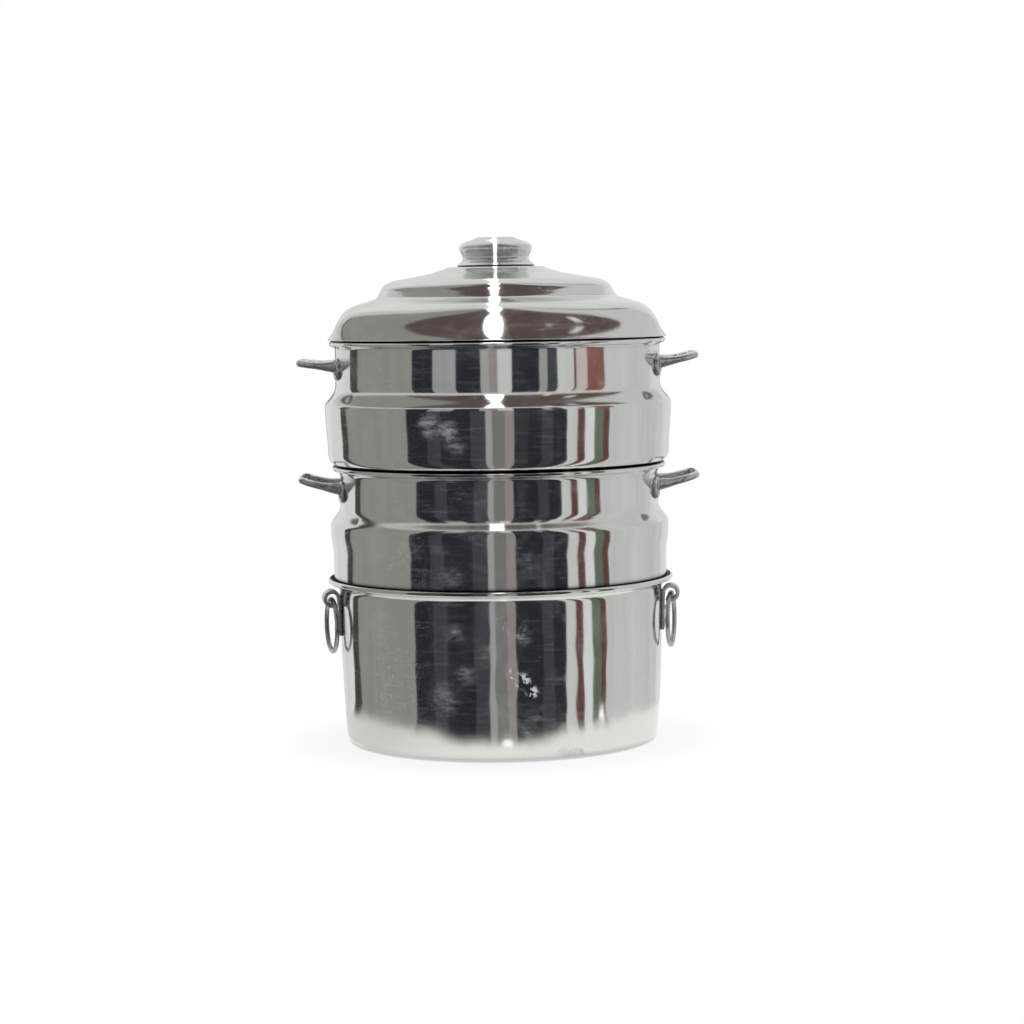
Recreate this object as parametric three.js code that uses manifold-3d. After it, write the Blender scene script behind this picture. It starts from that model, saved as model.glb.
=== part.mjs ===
// A stacking food steamer in spun aluminium: a water pot with two loose ring handles, two
// perforated tiers with cast loop handles, and a stepped lid with a hollow knob.
// Lengths are millimetres and angles are degrees. +Z is up, the front is -Y, and the origin is
// the centre of the pot's underside.
import * as THREE from "three";
import { mergeVertices } from "three/addons/utils/BufferGeometryUtils.js";
import Module from "manifold-3d";

const wasm = await Module();
wasm.setup();

// Sheet metal and clearances
const sheet = 1.2;
const seatGap = 0.3;
const boreGap = 0.3;
const overrun = 10;

// Fineness of the turned and round shapes, in counts
const shellSegments = 32;
const knobSegments = 20;
const pinSegments = 6;
const roundSegments = 12;
const beadSteps = 6;
const flareSteps = 2;
const cornerSteps = 3;
const wallSteps = 3;
const shoulderSteps = 4;
const domeSteps = 4;
const knobSteps = 12;

// Water pot, which sets the radius that the whole stack follows
const pot = {
  neckRadius: 153.4,
  // How far the base lies inside the neck, and the flare outside it
  draft: 5.2,
  rimFlare: 8.4,
  beadRadius: 2.3,
  cornerRadius: 5,
  wallHeight: 139.2,
};

// The two tiers, each from its bottom corner up to its rolled rim. The nest gap lies round the
// spigot in the neck below, the band stands out from the wall by its step, and the neck lies
// inside the band by the shoulder's.
const lowerShape = {
  name: "lower",
  nestGap: 2.1,
  cornerRadius: 8,
  bandStep: 2.4,
  shoulderStep: 9.5,
  rimFlare: 4.7,
  beadRadius: 2.3,
  wallHeight: 20.9,
  taperHeight: 22.8,
  bandHeight: 5.7,
  shoulderHeight: 19,
  neckHeight: 28.4,
  shoulderSkewShare: 1.2,
  padHeightShare: 0.5,
  handleReach: 39,
  handleRise: 5.2,
};
const upperShape = {
  name: "upper",
  nestGap: 1.1,
  cornerRadius: 13,
  bandStep: 2.3,
  shoulderStep: 10.4,
  rimFlare: 2.5,
  beadRadius: 2.8,
  wallHeight: 1.5,
  taperHeight: 41,
  bandHeight: 2.1,
  shoulderHeight: 21.9,
  neckHeight: 31.9,
  shoulderSkewShare: 1.5,
  padHeightShare: 0.42,
  handleReach: 36.4,
  handleRise: 3,
};

// Tier floor: a short spigot that drops into the neck below, and rings of steam holes
const floor = { spigotDepth: 5, holeRadius: 4.5, holePitch: 28, holeRings: 4, holesPerRing: 6 };

// Cast loop handle: a round bar on two slanted pads, each with two rivets
const handle = {
  footSpread: 36,
  barRadius: 3.9,
  bendRadius: 13,
  rootLift: 6,
  padThickness: 3,
  padLength: 11.5,
  padWidth: 9,
  padSlant: 20,
  rivetSpread: 5.2,
  outerRivetDrop: 3.2,
  innerRivetLift: 0.4,
  barSteps: 14,
};

// Rivets with domed heads outside and flattened tails inside
const rivet = {
  shankRadius: 1.6,
  headRadius: 2.6,
  headHeight: 1.5,
  tailRadius: 2.5,
  tailHeight: 0.8,
  domeShares: [0.7, 0.75],
};

// Ring handle of the pot and the strap lug that it hangs in
const lug = {
  eyeRadius: 8.4,
  eyeBore: 5,
  width: 18,
  plateThickness: 2.6,
  eyeDrop: 5,
  tailLength: 35,
  firstRivet: 14.5,
  rivetPitch: 13,
  rightAzimuth: -5,
  leftAzimuth: 189,
};
const ring = { radius: 24.75, wireRadius: 2.25, seatGap: 0.5, segments: 20, wireSegments: 8 };

// Lid: a hemmed rim with a locating collar, then three domed steps up to a flat top
const lid = {
  // How far the hem reaches past the rim that it rests on
  overhang: 1.1,
  rimEdge: 0.8,
  collarDepth: 6,
  collarGap: 1.1,
  // Corners of the outside, each by its share of the hem's radius and its rise from the one below
  throat: { radiusShare: 0.954375, rise: 12.9 },
  dome: { radiusShare: 0.83125, rise: 20 },
  step: { radiusShare: 0.71375, rise: 5.6 },
  riser: { radiusShare: 0.684375, rise: 7.5 },
  crown: { radiusShare: 0.585, rise: 9.7 },
  cone: { radiusShare: 0.38875, rise: 5.6 },
  top: { radiusShare: 0.296875, rise: 5.8 },
  // Corners of the bowed stretches, as shares of their radius and height spans
  throatBowShares: [0.62, 0.42],
  domeBowShares: [0.31, 0.8],
  crownBowShares: [0.16, 0.75],
  // Where the collar's inside meets the dome, between the throat and the first point under it
  collarTopShare: 0.3,
};

// Knob: a hollow spun cup with a dished top, held by a screw, a washer and a nut
const knob = {
  radius: 36.5,
  height: 27.7,
  // Outline from the flange to the dish, as shares of the radius and of the height
  outlineShares: [
    [1, 0.05],
    [0.95, 0.12],
    [0.88, 0.2],
    [0.858, 0.3],
    [0.882, 0.4],
    [0.942, 0.6],
    [0.92, 0.73],
    [0.81, 0.83],
    [0.6, 0.92],
    [0.47, 1],
    [0.37, 0.93],
    [0.24, 0.81],
    [0.15, 0.79],
  ],
};
const screw = {
  shankRadius: 2.4,
  headRadius: 4.6,
  headHeight: 2.6,
  headBevel: 0.9,
  slotWidth: 1,
  slotDepth: 1.1,
  tipLength: 1.5,
};
const washer = { radius: 8.5, thickness: 1.2 };
const nut = { acrossCorners: 9.2, thickness: 4 };

const toRadians = THREE.MathUtils.degToRad;
const xAxis = new THREE.Vector3(1, 0, 0);
const yAxis = new THREE.Vector3(0, 1, 0);
const zAxis = new THREE.Vector3(0, 0, 1);

const at = (radius, height) => new THREE.Vector2(radius, height);

// A closed geometry as a solid that can be joined and cut
function solidOf(geometry) {
  const bare = geometry.clone();
  bare.deleteAttribute("normal");
  bare.deleteAttribute("uv");
  const merged = mergeVertices(bare, 1e-4);
  return new wasm.Manifold(
    new wasm.Mesh({
      numProp: 3,
      vertProperties: merged.attributes.position.array,
      triVerts: new Uint32Array(merged.index.array),
    }),
  );
}

// A solid as a geometry for a mesh
function geometryOf(solid) {
  const { vertProperties, triVerts } = solid.getMesh();
  const geometry = new THREE.BufferGeometry();
  geometry.setAttribute("position", new THREE.BufferAttribute(vertProperties, 3));
  geometry.setIndex(new THREE.BufferAttribute(triVerts, 1));
  geometry.computeVertexNormals();
  return geometry;
}

// A profile of radius and height turned about Z
function turned(line, segments) {
  const geometry = new THREE.LatheGeometry(line, segments);
  return solidOf(geometry.rotateX(Math.PI / 2));
}

const placed = (geometry, matrix) => solidOf(geometry.applyMatrix4(matrix));
const turnAbout = (azimuth) => new THREE.Matrix4().makeRotationZ(toRadians(azimuth));
const shift = (x, y, z) => new THREE.Matrix4().makeTranslation(x, y, z);

// A solid moved by a matrix
const moved = (solid, matrix) => placed(geometryOf(solid), matrix);

// Points of an arc in a profile
function arc(radius, height, size, from, to, steps) {
  return Array.from({ length: steps + 1 }, (_, i) => {
    const angle = toRadians(from + ((to - from) * i) / steps);
    return at(radius + size * Math.cos(angle), height + size * Math.sin(angle));
  });
}

// Points of a curve between two points, bowed towards a corner that two shares place
function bow(start, end, [radiusShare, heightShare], steps) {
  const corner = at(
    THREE.MathUtils.lerp(start.x, end.x, radiusShare),
    THREE.MathUtils.lerp(start.y, end.y, heightShare),
  );
  return new THREE.QuadraticBezierCurve(start, corner, end).getPoints(steps);
}

// Share of the offset distance that a point keeps from its line, or it is left out
const offsetKeepShare = 0.95;

// The line at a distance to the left of a line, without what a tight bend would fold over
function offsetLine(line, distance) {
  const normals = line.slice(1).map((point, i) => {
    const along = point.clone().sub(line[i]).normalize();
    return at(-along.y, along.x);
  });
  const shifted = line.map((point, i) => {
    const before = normals[Math.max(i - 1, 0)];
    const after = normals[Math.min(i, normals.length - 1)];
    const miter = before.clone().add(after).normalize();
    return point.clone().addScaledVector(miter, distance / miter.dot(after));
  });
  const keep = Math.abs(distance) * offsetKeepShare;
  return shifted.filter((point) =>
    line.slice(1).every((end, i) => distanceToStretch(point, line[i], end) > keep),
  );
}

function distanceToStretch(point, start, end) {
  const along = end.clone().sub(start);
  const reach = point.clone().sub(start).dot(along) / along.lengthSq();
  const nearest = start.clone().addScaledVector(along, THREE.MathUtils.clamp(reach, 0, 1));
  return nearest.distanceTo(point);
}

// The flared rim with its rolled bead: both arcs are centred on one radius
function rimOf({ neckRadius, rimFlare, beadRadius }, neckTop) {
  const beadHeight = neckTop + rimFlare + beadRadius;
  return {
    radius: neckRadius + rimFlare,
    flare: rimFlare,
    beadRadius,
    flareHeight: neckTop,
    beadHeight,
    top: beadHeight + beadRadius,
  };
}

// The rim's outline from the outside of the neck, round the bead, to the inside of the neck
function rimLine({ radius, flare, beadRadius, flareHeight, beadHeight }) {
  const inner = flare + sheet;
  const drop = beadRadius + flare;
  const sine = (inner ** 2 - beadRadius ** 2 - drop ** 2) / (2 * beadRadius * drop);
  const meet = 180 - THREE.MathUtils.radToDeg(Math.asin(sine));
  const bead = arc(radius, beadHeight, beadRadius, -90, meet, beadSteps);
  const last = bead.at(-1);
  const turn = THREE.MathUtils.radToDeg(Math.atan2(last.y - flareHeight, last.x - radius));
  return [
    ...arc(radius, flareHeight, flare, 180, 90, flareSteps),
    ...bead.slice(1),
    ...arc(radius, flareHeight, inner, turn, 180, flareSteps).slice(1),
  ];
}

// Height of the centre of a round bottom corner that rests on a rim's bead or on its flare
function seatOn(rim, cornerRadius, centreRadius) {
  const across = rim.radius - centreRadius;
  const climb = (size) => Math.sqrt(Math.max(0, (cornerRadius + size + seatGap) ** 2 - across ** 2));
  return Math.max(
    rim.beadHeight + climb(rim.beadRadius),
    rim.flareHeight + climb(rim.flare + sheet),
  );
}

// A domed rivet along X, between the faces that it clamps
function rivetSolid(inside, outside) {
  const { shankRadius, headRadius, headHeight, tailRadius, tailHeight, domeShares } = rivet;
  const line = [
    at(0, inside - tailHeight),
    at(tailRadius, inside),
    at(shankRadius, inside),
    at(shankRadius, outside),
    at(headRadius, outside),
    at(headRadius * domeShares[0], outside + headHeight * domeShares[1]),
    at(0, outside + headHeight),
  ];
  const geometry = new THREE.LatheGeometry(line, pinSegments).rotateX(Math.PI / 2);
  return solidOf(geometry.rotateY(Math.PI / 2));
}

// A round bore along X
function boreSolid(radius, from, to) {
  const length = to - from;
  const geometry = new THREE.CylinderGeometry(radius, radius, length, pinSegments, 1);
  return solidOf(geometry.rotateZ(-Math.PI / 2).translate(from + length / 2, 0, 0));
}

// How far a flat facet of a turned wall lies inside its true radius
const facetDip = (radius) => radius * (1 - Math.cos(Math.PI / shellSegments));

const polished = { color: 0xc8cac9, roughness: 0.14, metalness: 1 };
const cast = { color: 0x8e8e8c, roughness: 0.55, metalness: 0.9 };
const wire = { color: 0x8a8b8a, roughness: 0.35, metalness: 1 };
const soft = { color: 0xb4b6b6, roughness: 0.3, metalness: 1 };

function piece(name, solid, finish) {
  const mesh = new THREE.Mesh(geometryOf(solid), new THREE.MeshStandardMaterial(finish));
  mesh.name = name;
  return mesh;
}

// Water pot, with the holes for the lugs' rivets
const potBaseRadius = pot.neckRadius - pot.draft;
const potNeckTop = pot.cornerRadius + pot.wallHeight;
const potRim = rimOf(pot, potNeckTop);
const eyeHeight = potNeckTop - lug.eyeDrop;
const lugRivetHeights = [0, 1].map((i) => eyeHeight - lug.firstRivet - i * lug.rivetPitch);
const lugs = { right: lug.rightAzimuth, left: lug.leftAzimuth };

function potWallRadius(height) {
  const rest = 1 - (height - pot.cornerRadius) / pot.wallHeight;
  return THREE.MathUtils.lerp(pot.neckRadius, potBaseRadius, rest ** 2);
}

function potWallLine() {
  const { cornerRadius, wallHeight } = pot;
  const wall = Array.from({ length: wallSteps }, (_, i) => {
    const height = cornerRadius + (wallHeight * (i + 1)) / wallSteps;
    return at(potWallRadius(height), height);
  });
  return [
    at(0, 0),
    ...arc(potBaseRadius - cornerRadius, cornerRadius, cornerRadius, -90, 0, cornerSteps),
    ...wall,
  ];
}

function potSolid() {
  const outside = potWallLine();
  const inside = offsetLine(outside, sheet).reverse();
  const shell = turned([...outside, ...rimLine(potRim).slice(1), ...inside.slice(1)], shellSegments);
  const bores = Object.values(lugs).flatMap((azimuth) =>
    lugRivetHeights.map((height) => {
      const radius = potWallRadius(height);
      const bore = boreSolid(rivet.shankRadius + boreGap, radius - overrun, radius + overrun);
      return moved(bore, turnAbout(azimuth).multiply(shift(0, 0, height)));
    }),
  );
  return bores.reduce((solid, bore) => solid.subtract(bore), shell);
}

// Strap lug: a plate on the wall that curls into an eye along the tangent
function lugSolid(azimuth) {
  const eyeRadius = pot.neckRadius + seatGap + lug.eyeRadius;
  const across = new THREE.Matrix4().makeBasis(xAxis, zAxis, yAxis.clone().negate());
  const extruded = (shape, width) =>
    placed(
      new THREE.ExtrudeGeometry(shape, { depth: width, bevelEnabled: false, curveSegments: roundSegments }),
      across.clone().setPosition(eyeRadius, width / 2, eyeHeight),
    );
  const disc = (radius) => new THREE.Shape().absarc(0, 0, radius, 0, 2 * Math.PI);
  const inner = -lug.eyeRadius - overrun;
  const outer = lug.plateThickness - lug.eyeRadius;
  const plate = new THREE.Shape([
    at(inner, -lug.tailLength),
    at(outer, -lug.tailLength),
    at(outer, 0),
    at(inner, 0),
  ]);
  const strap = extruded(disc(lug.eyeRadius), lug.width)
    .add(extruded(plate, lug.width))
    .subtract(extruded(disc(lug.eyeBore), lug.width + 2 * overrun));
  const bores = lugRivetHeights.map((height) =>
    moved(
      boreSolid(rivet.shankRadius + boreGap, pot.neckRadius - overrun, pot.neckRadius + overrun),
      shift(0, 0, height),
    ),
  );
  const wall = offsetLine(potWallLine(), -seatGap).filter((point) => point.y > 0);
  const top = potRim.top + overrun;
  const envelope = turned(
    [at(0, -overrun), at(potBaseRadius, -overrun), ...wall, at(wall.at(-1).x, top), at(0, top)],
    shellSegments,
  );
  const solid = bores.reduce((rest, bore) => rest.subtract(bore), strap);
  return moved(solid, turnAbout(azimuth)).subtract(envelope);
}

// Ring that hangs in the eye: its wire lies on the two lower edges of the bore
function ringMesh(side) {
  const halfWidth = lug.width / 2;
  const sag = ring.radius - Math.sqrt(ring.radius ** 2 - halfWidth ** 2);
  const drop = lug.eyeBore - ring.wireRadius - ring.seatGap - sag;
  const torus = new THREE.TorusGeometry(ring.radius, ring.wireRadius, ring.wireSegments, ring.segments);
  const mesh = piece(`pot_ring_${side}`, solidOf(torus.rotateY(Math.PI / 2)), wire);
  mesh.position.set(pot.neckRadius + seatGap + lug.eyeRadius, 0, eyeHeight - drop - ring.radius);
  return mesh;
}

function potGroup() {
  const group = new THREE.Group();
  group.add(piece("pot_body", potSolid(), polished));
  for (const [side, azimuth] of Object.entries(lugs)) {
    group.add(piece(`pot_lug_${side}`, lugSolid(azimuth), soft));
    const arm = new THREE.Group();
    arm.rotation.z = toRadians(azimuth);
    arm.add(ringMesh(side));
    lugRivetHeights.forEach((height, i) => {
      const radius = potWallRadius(height);
      const inside = radius - facetDip(radius) - sheet - seatGap;
      const outside = pot.neckRadius + lug.plateThickness + 2 * seatGap;
      const pin = piece(`lug_rivet_${side}_${["upper", "lower"][i]}`, rivetSolid(inside, outside), soft);
      pin.position.z = height;
      arm.add(pin);
    });
    group.add(arm);
  }
  return group;
}

// A tier's radii, from the neck that its spigot drops into
function tierOn(below, shape) {
  const spigotRadius = below.neckRadius - sheet - shape.nestGap;
  const wallRadius = spigotRadius + shape.cornerRadius;
  const bandRadius = wallRadius + shape.bandStep;
  return { ...shape, spigotRadius, wallRadius, bandRadius, neckRadius: bandRadius - shape.shoulderStep };
}

// Heights in a tier are measured from the underside of its round bottom corner
function tierLayout(tier) {
  const taperBottom = tier.cornerRadius + tier.wallHeight;
  const bandBottom = taperBottom + tier.taperHeight;
  const shoulderBottom = bandBottom + tier.bandHeight;
  const neckBottom = shoulderBottom + tier.shoulderHeight;
  const neckTop = neckBottom + tier.neckHeight;
  return {
    taperBottom,
    bandBottom,
    shoulderBottom,
    neckBottom,
    rim: rimOf(tier, neckTop),
    padHeight: neckBottom + tier.neckHeight * tier.padHeightShare,
  };
}

function tierWallLine(tier) {
  const { taperBottom, bandBottom, shoulderBottom, neckBottom } = tierLayout(tier);
  const { cornerRadius, spigotRadius, wallRadius, bandRadius, neckRadius } = tier;
  const { taperHeight, shoulderHeight } = tier;
  const ease = (share) => THREE.MathUtils.smoothstep(share, 0, 1);
  const taper = [0, 0.5, 1].map((share) =>
    at(THREE.MathUtils.lerp(wallRadius, bandRadius, ease(share)), taperBottom + taperHeight * share),
  );
  const shoulder = Array.from({ length: shoulderSteps + 1 }, (_, i) => {
    const share = 1 - i / shoulderSteps;
    const out = ease(share ** tier.shoulderSkewShare);
    return at(THREE.MathUtils.lerp(neckRadius, bandRadius, out), neckBottom - shoulderHeight * share);
  });
  return [
    at(0, -floor.spigotDepth),
    at(spigotRadius, -floor.spigotDepth),
    ...arc(spigotRadius, cornerRadius, cornerRadius, -90, 0, cornerSteps),
    ...taper,
    ...shoulder,
    at(neckRadius, neckBottom + tier.neckHeight),
  ].filter((point, i, line) => i === 0 || point.distanceTo(line[i - 1]) > seatGap);
}

// The two rivets of a foot, as places on its pad
const rivetPlaces = [
  { name: "outer", along: handle.rivetSpread, height: -handle.outerRivetDrop },
  { name: "inner", along: -handle.rivetSpread, height: handle.innerRivetLift },
];
const feet = [
  { name: "front", way: -1 },
  { name: "back", way: 1 },
];

const footAzimuth = (tier) => THREE.MathUtils.radToDeg(Math.asin(handle.footSpread / tier.neckRadius));

// Names of a handle's rivets, and matrices that take a rivet along X to its place on the handle
function rivetMatrices(tier) {
  return feet.flatMap((foot) =>
    rivetPlaces.map((place) => ({
      name: `${foot.name}_${place.name}`,
      matrix: turnAbout(foot.way * footAzimuth(tier)).multiply(
        shift(0, foot.way * place.along, tierLayout(tier).padHeight + place.height),
      ),
    })),
  );
}

function tierSolid(tier) {
  const outside = tierWallLine(tier);
  const inside = offsetLine(outside, sheet).reverse();
  const { rim } = tierLayout(tier);
  const shell = turned([...outside, ...rimLine(rim).slice(1), ...inside.slice(1)], shellSegments);
  const bore = boreSolid(
    rivet.shankRadius + boreGap,
    tier.neckRadius - overrun,
    tier.neckRadius + overrun,
  );
  const rivetBores = [0, 180].flatMap((azimuth) =>
    rivetMatrices(tier).map(({ matrix }) => moved(bore, turnAbout(azimuth).multiply(matrix))),
  );
  const cut = rivetBores.reduce((solid, hole) => solid.subtract(hole), shell);
  return steamHoles().reduce((solid, hole) => solid.subtract(hole), cut);
}

// Steam holes in rings about a middle hole, each ring with more holes than the last
function steamHoles() {
  const hole = (radius, azimuth) => {
    const geometry = new THREE.CylinderGeometry(
      floor.holeRadius, floor.holeRadius, 2 * overrun, pinSegments, 1,
    );
    const upright = geometry.rotateX(Math.PI / 2).translate(radius, 0, -floor.spigotDepth);
    return solidOf(upright.rotateZ(azimuth));
  };
  const holes = [hole(0, 0)];
  for (let ringIndex = 1; ringIndex <= floor.holeRings; ringIndex++) {
    const count = floor.holesPerRing * ringIndex;
    for (let i = 0; i < count; i++) {
      holes.push(hole(floor.holePitch * ringIndex, (2 * Math.PI * i) / count));
    }
  }
  return holes;
}

// Centre line of the loop: out from one foot, across and back to the other
function loopCurve(tier) {
  const { footSpread, barRadius, bendRadius, rootLift } = handle;
  const root = Math.sqrt(tier.neckRadius ** 2 - footSpread ** 2) - 2 * barRadius;
  const bar = tier.neckRadius + tier.handleReach - barRadius;
  const start = tierLayout(tier).padHeight + rootLift;
  const heightAt = (x) => start + (tier.handleRise * (x - root)) / (bar - root);
  const bend = arc(bar - bendRadius, footSpread - bendRadius, bendRadius, 90, 0, 3);
  const half = [at(root, footSpread), at((root + bar - bendRadius) / 2, footSpread), ...bend];
  const mirrored = half.map((point) => at(point.x, -point.y)).reverse();
  const plan = [...half, at(bar, 0), ...mirrored];
  return new THREE.CatmullRomCurve3(
    plan.map((point) => new THREE.Vector3(point.x, point.y, heightAt(point.x))),
    false,
    "centripetal",
  );
}

function handleSolid(tier) {
  const section = new THREE.Shape().absarc(0, 0, handle.barRadius, 0, 2 * Math.PI);
  const loop = solidOf(
    new THREE.ExtrudeGeometry(section, {
      steps: handle.barSteps,
      curveSegments: 4,
      extrudePath: loopCurve(tier),
    }),
  );
  const facing = new THREE.Matrix4().makeBasis(yAxis, zAxis, xAxis);
  const pads = feet.map((foot) => {
    const outline = new THREE.Shape().absellipse(
      0, 0, handle.padLength, handle.padWidth, 0, 2 * Math.PI, false, toRadians(-foot.way * handle.padSlant),
    );
    const depth = overrun + seatGap + handle.padThickness;
    const plate = placed(
      new THREE.ExtrudeGeometry(outline, { depth, bevelEnabled: false, curveSegments: roundSegments }),
      facing.clone().setPosition(tier.neckRadius - overrun, 0, tierLayout(tier).padHeight),
    );
    return moved(plate, turnAbout(foot.way * footAzimuth(tier)));
  });
  const clearRadius = tier.neckRadius + seatGap;
  const top = tierLayout(tier).rim.top + overrun;
  const envelope = turned(
    [at(0, -top), at(clearRadius, -top), at(clearRadius, top), at(0, top)],
    shellSegments,
  );
  const clearance = handle.padThickness + overrun;
  const bore = boreSolid(
    rivet.shankRadius + boreGap,
    tier.neckRadius - overrun,
    tier.neckRadius + clearance,
  );
  const casting = pads.reduce((solid, pad) => solid.add(pad), loop).subtract(envelope);
  return rivetMatrices(tier).reduce(
    (solid, { matrix }) => solid.subtract(moved(bore, matrix)),
    casting,
  );
}

function tierGroup(tier, seat) {
  const group = new THREE.Group();
  group.position.z = seat;
  group.add(piece(`${tier.name}_tier_body`, tierSolid(tier), polished));
  const casting = handleSolid(tier);
  const inside = tier.neckRadius - facetDip(tier.neckRadius) - sheet - seatGap;
  const outside = tier.neckRadius + handle.padThickness + 2 * seatGap;
  for (const [side, azimuth] of [["right", 0], ["left", 180]]) {
    const arm = new THREE.Group();
    arm.rotation.z = toRadians(azimuth);
    arm.add(piece(`${tier.name}_handle_${side}`, casting, cast));
    for (const { name, matrix } of rivetMatrices(tier)) {
      const pin = piece(`${tier.name}_rivet_${side}_${name}`, rivetSolid(inside, outside), soft);
      pin.applyMatrix4(matrix);
      arm.add(pin);
    }
    group.add(arm);
  }
  return group;
}

// Corners of the lid's outside, measured from the underside of its hem
function lidCorners(rimRadius) {
  let height = 0;
  return ["throat", "dome", "step", "riser", "crown", "cone", "top"].map((name) => {
    height += lid[name].rise;
    return at(rimRadius * lid[name].radiusShare, height);
  });
}

const lidRimRadius = (rimBelow) => rimBelow.radius + rimBelow.beadRadius + lid.overhang;

function lidSolid(rimBelow) {
  const boreRadius = screw.shankRadius + boreGap;
  const rimRadius = lidRimRadius(rimBelow);
  const [throat, dome, step, riser, crown, cone, top] = lidCorners(rimRadius);
  const skin = [
    ...bow(throat, dome, lid.domeBowShares, domeSteps),
    step,
    ...bow(riser, crown, lid.crownBowShares, domeSteps),
    cone,
    at(top.x, top.y - sheet),
    at(top.x - sheet, top.y),
    at(boreRadius, top.y),
  ];
  const collarOuter = rimBelow.radius - rimBelow.flare - sheet - lid.collarGap;
  const collarInner = collarOuter - sheet;
  const under = offsetLine(skin, sheet).filter((point) => point.x < collarInner - sheet);
  const shoulder = under[0];
  const line = [
    at(collarOuter, -lid.collarDepth),
    at(collarOuter, 0),
    at(rimRadius, 0),
    ...bow(at(rimRadius, lid.rimEdge), throat, lid.throatBowShares, flareSteps).slice(0, -1),
    ...skin,
    ...under.reverse(),
    at(collarInner, THREE.MathUtils.lerp(throat.y, shoulder.y, lid.collarTopShare)),
    at(collarInner, -lid.collarDepth),
    at(collarOuter, -lid.collarDepth),
  ];
  return turned(line, shellSegments);
}

// Knob cup, whose heights are measured from its flange's underside
function knobLine() {
  const points = knob.outlineShares.map(([radiusShare, heightShare]) =>
    at(knob.radius * radiusShare, knob.height * heightShare),
  );
  return new THREE.SplineCurve(points).getPoints(knobSteps);
}

const dishHeight = knob.height * knob.outlineShares.at(-1)[1];

function knobSolid() {
  const boreRadius = screw.shankRadius + boreGap;
  const skin = [...knobLine(), at(boreRadius, dishHeight)];
  const under = offsetLine(skin, sheet).filter((point) => point.y > sheet);
  const line = [
    at(knob.radius, 0),
    ...skin,
    ...under.reverse(),
    at(under.at(-1).x, 0),
    at(knob.radius, 0),
  ];
  return turned(line, knobSegments);
}

// Screw from the dish down through knob, lid, washer and nut, as heights above the lid's top
function fastenerGroup(lidTop) {
  const group = new THREE.Group();
  group.position.z = lidTop;
  const washerTop = -sheet - seatGap;
  const nutTop = washerTop - washer.thickness - seatGap;
  const tip = nutTop - nut.thickness - screw.tipLength;
  const headBottom = seatGap + dishHeight + seatGap;
  const headTop = headBottom + screw.headHeight;
  const body = turned(
    [
      at(0, tip),
      at(screw.shankRadius, tip),
      at(screw.shankRadius, headBottom),
      at(screw.headRadius, headBottom),
      at(screw.headRadius, headTop - screw.headBevel),
      at(screw.headRadius - screw.headBevel, headTop),
      at(0, headTop),
    ],
    roundSegments,
  );
  const slot = placed(
    new THREE.BoxGeometry(2 * screw.headRadius + overrun, screw.slotWidth, 2 * screw.slotDepth),
    shift(0, 0, headTop),
  );
  group.add(piece("knob_screw", body.subtract(slot), wire));
  const boreRadius = screw.shankRadius + boreGap;
  const plate = [
    at(washer.radius, washerTop - washer.thickness),
    at(washer.radius, washerTop),
    at(boreRadius, washerTop),
    at(boreRadius, washerTop - washer.thickness),
    at(washer.radius, washerTop - washer.thickness),
  ];
  group.add(piece("knob_washer", turned(plate, roundSegments), wire));
  const hexagon = new THREE.Shape(
    Array.from({ length: 6 }, (_, i) => {
      const angle = (i * Math.PI) / 3;
      return at((nut.acrossCorners / 2) * Math.cos(angle), (nut.acrossCorners / 2) * Math.sin(angle));
    }),
  );
  hexagon.holes.push(new THREE.Path().absarc(0, 0, boreRadius, 0, 2 * Math.PI));
  const block = placed(
    new THREE.ExtrudeGeometry(hexagon, { depth: nut.thickness, bevelEnabled: false, curveSegments: 6 }),
    shift(0, 0, nutTop - nut.thickness),
  );
  group.add(piece("knob_nut", block, wire));
  return group;
}

function lidGroup(rimBelow, seat) {
  const group = new THREE.Group();
  group.position.z = seat;
  group.add(piece("lid_shell", lidSolid(rimBelow), polished));
  const cup = piece("lid_knob", knobSolid(), polished);
  const lidTop = lidCorners(lidRimRadius(rimBelow)).at(-1).y;
  cup.position.z = lidTop + seatGap;
  group.add(cup);
  group.add(fastenerGroup(lidTop));
  return group;
}

// The stack, each piece seated on the rim of the one below
const steamer = new THREE.Group();
steamer.add(potGroup());
let below = pot;
let rimBelow = potRim;
let rimBase = 0;
for (const shape of [lowerShape, upperShape]) {
  const tier = tierOn(below, shape);
  const seat = rimBase + seatOn(rimBelow, tier.cornerRadius, tier.spigotRadius) - tier.cornerRadius;
  steamer.add(tierGroup(tier, seat));
  below = tier;
  rimBelow = tierLayout(tier).rim;
  rimBase = seat;
}
steamer.add(lidGroup(rimBelow, rimBase + rimBelow.top + seatGap));

export default steamer;
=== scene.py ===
"""A stacking food steamer in spun aluminium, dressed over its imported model.

Every length is in metres. +Z is up, the front is -Y, and the origin is the centre of the pot's
underside. The script is laid out as an add-on: one operator makes each group of like pieces.
"""

import math
from types import SimpleNamespace

import bmesh
import bpy
from mathutils import Matrix, Vector, noise


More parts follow.
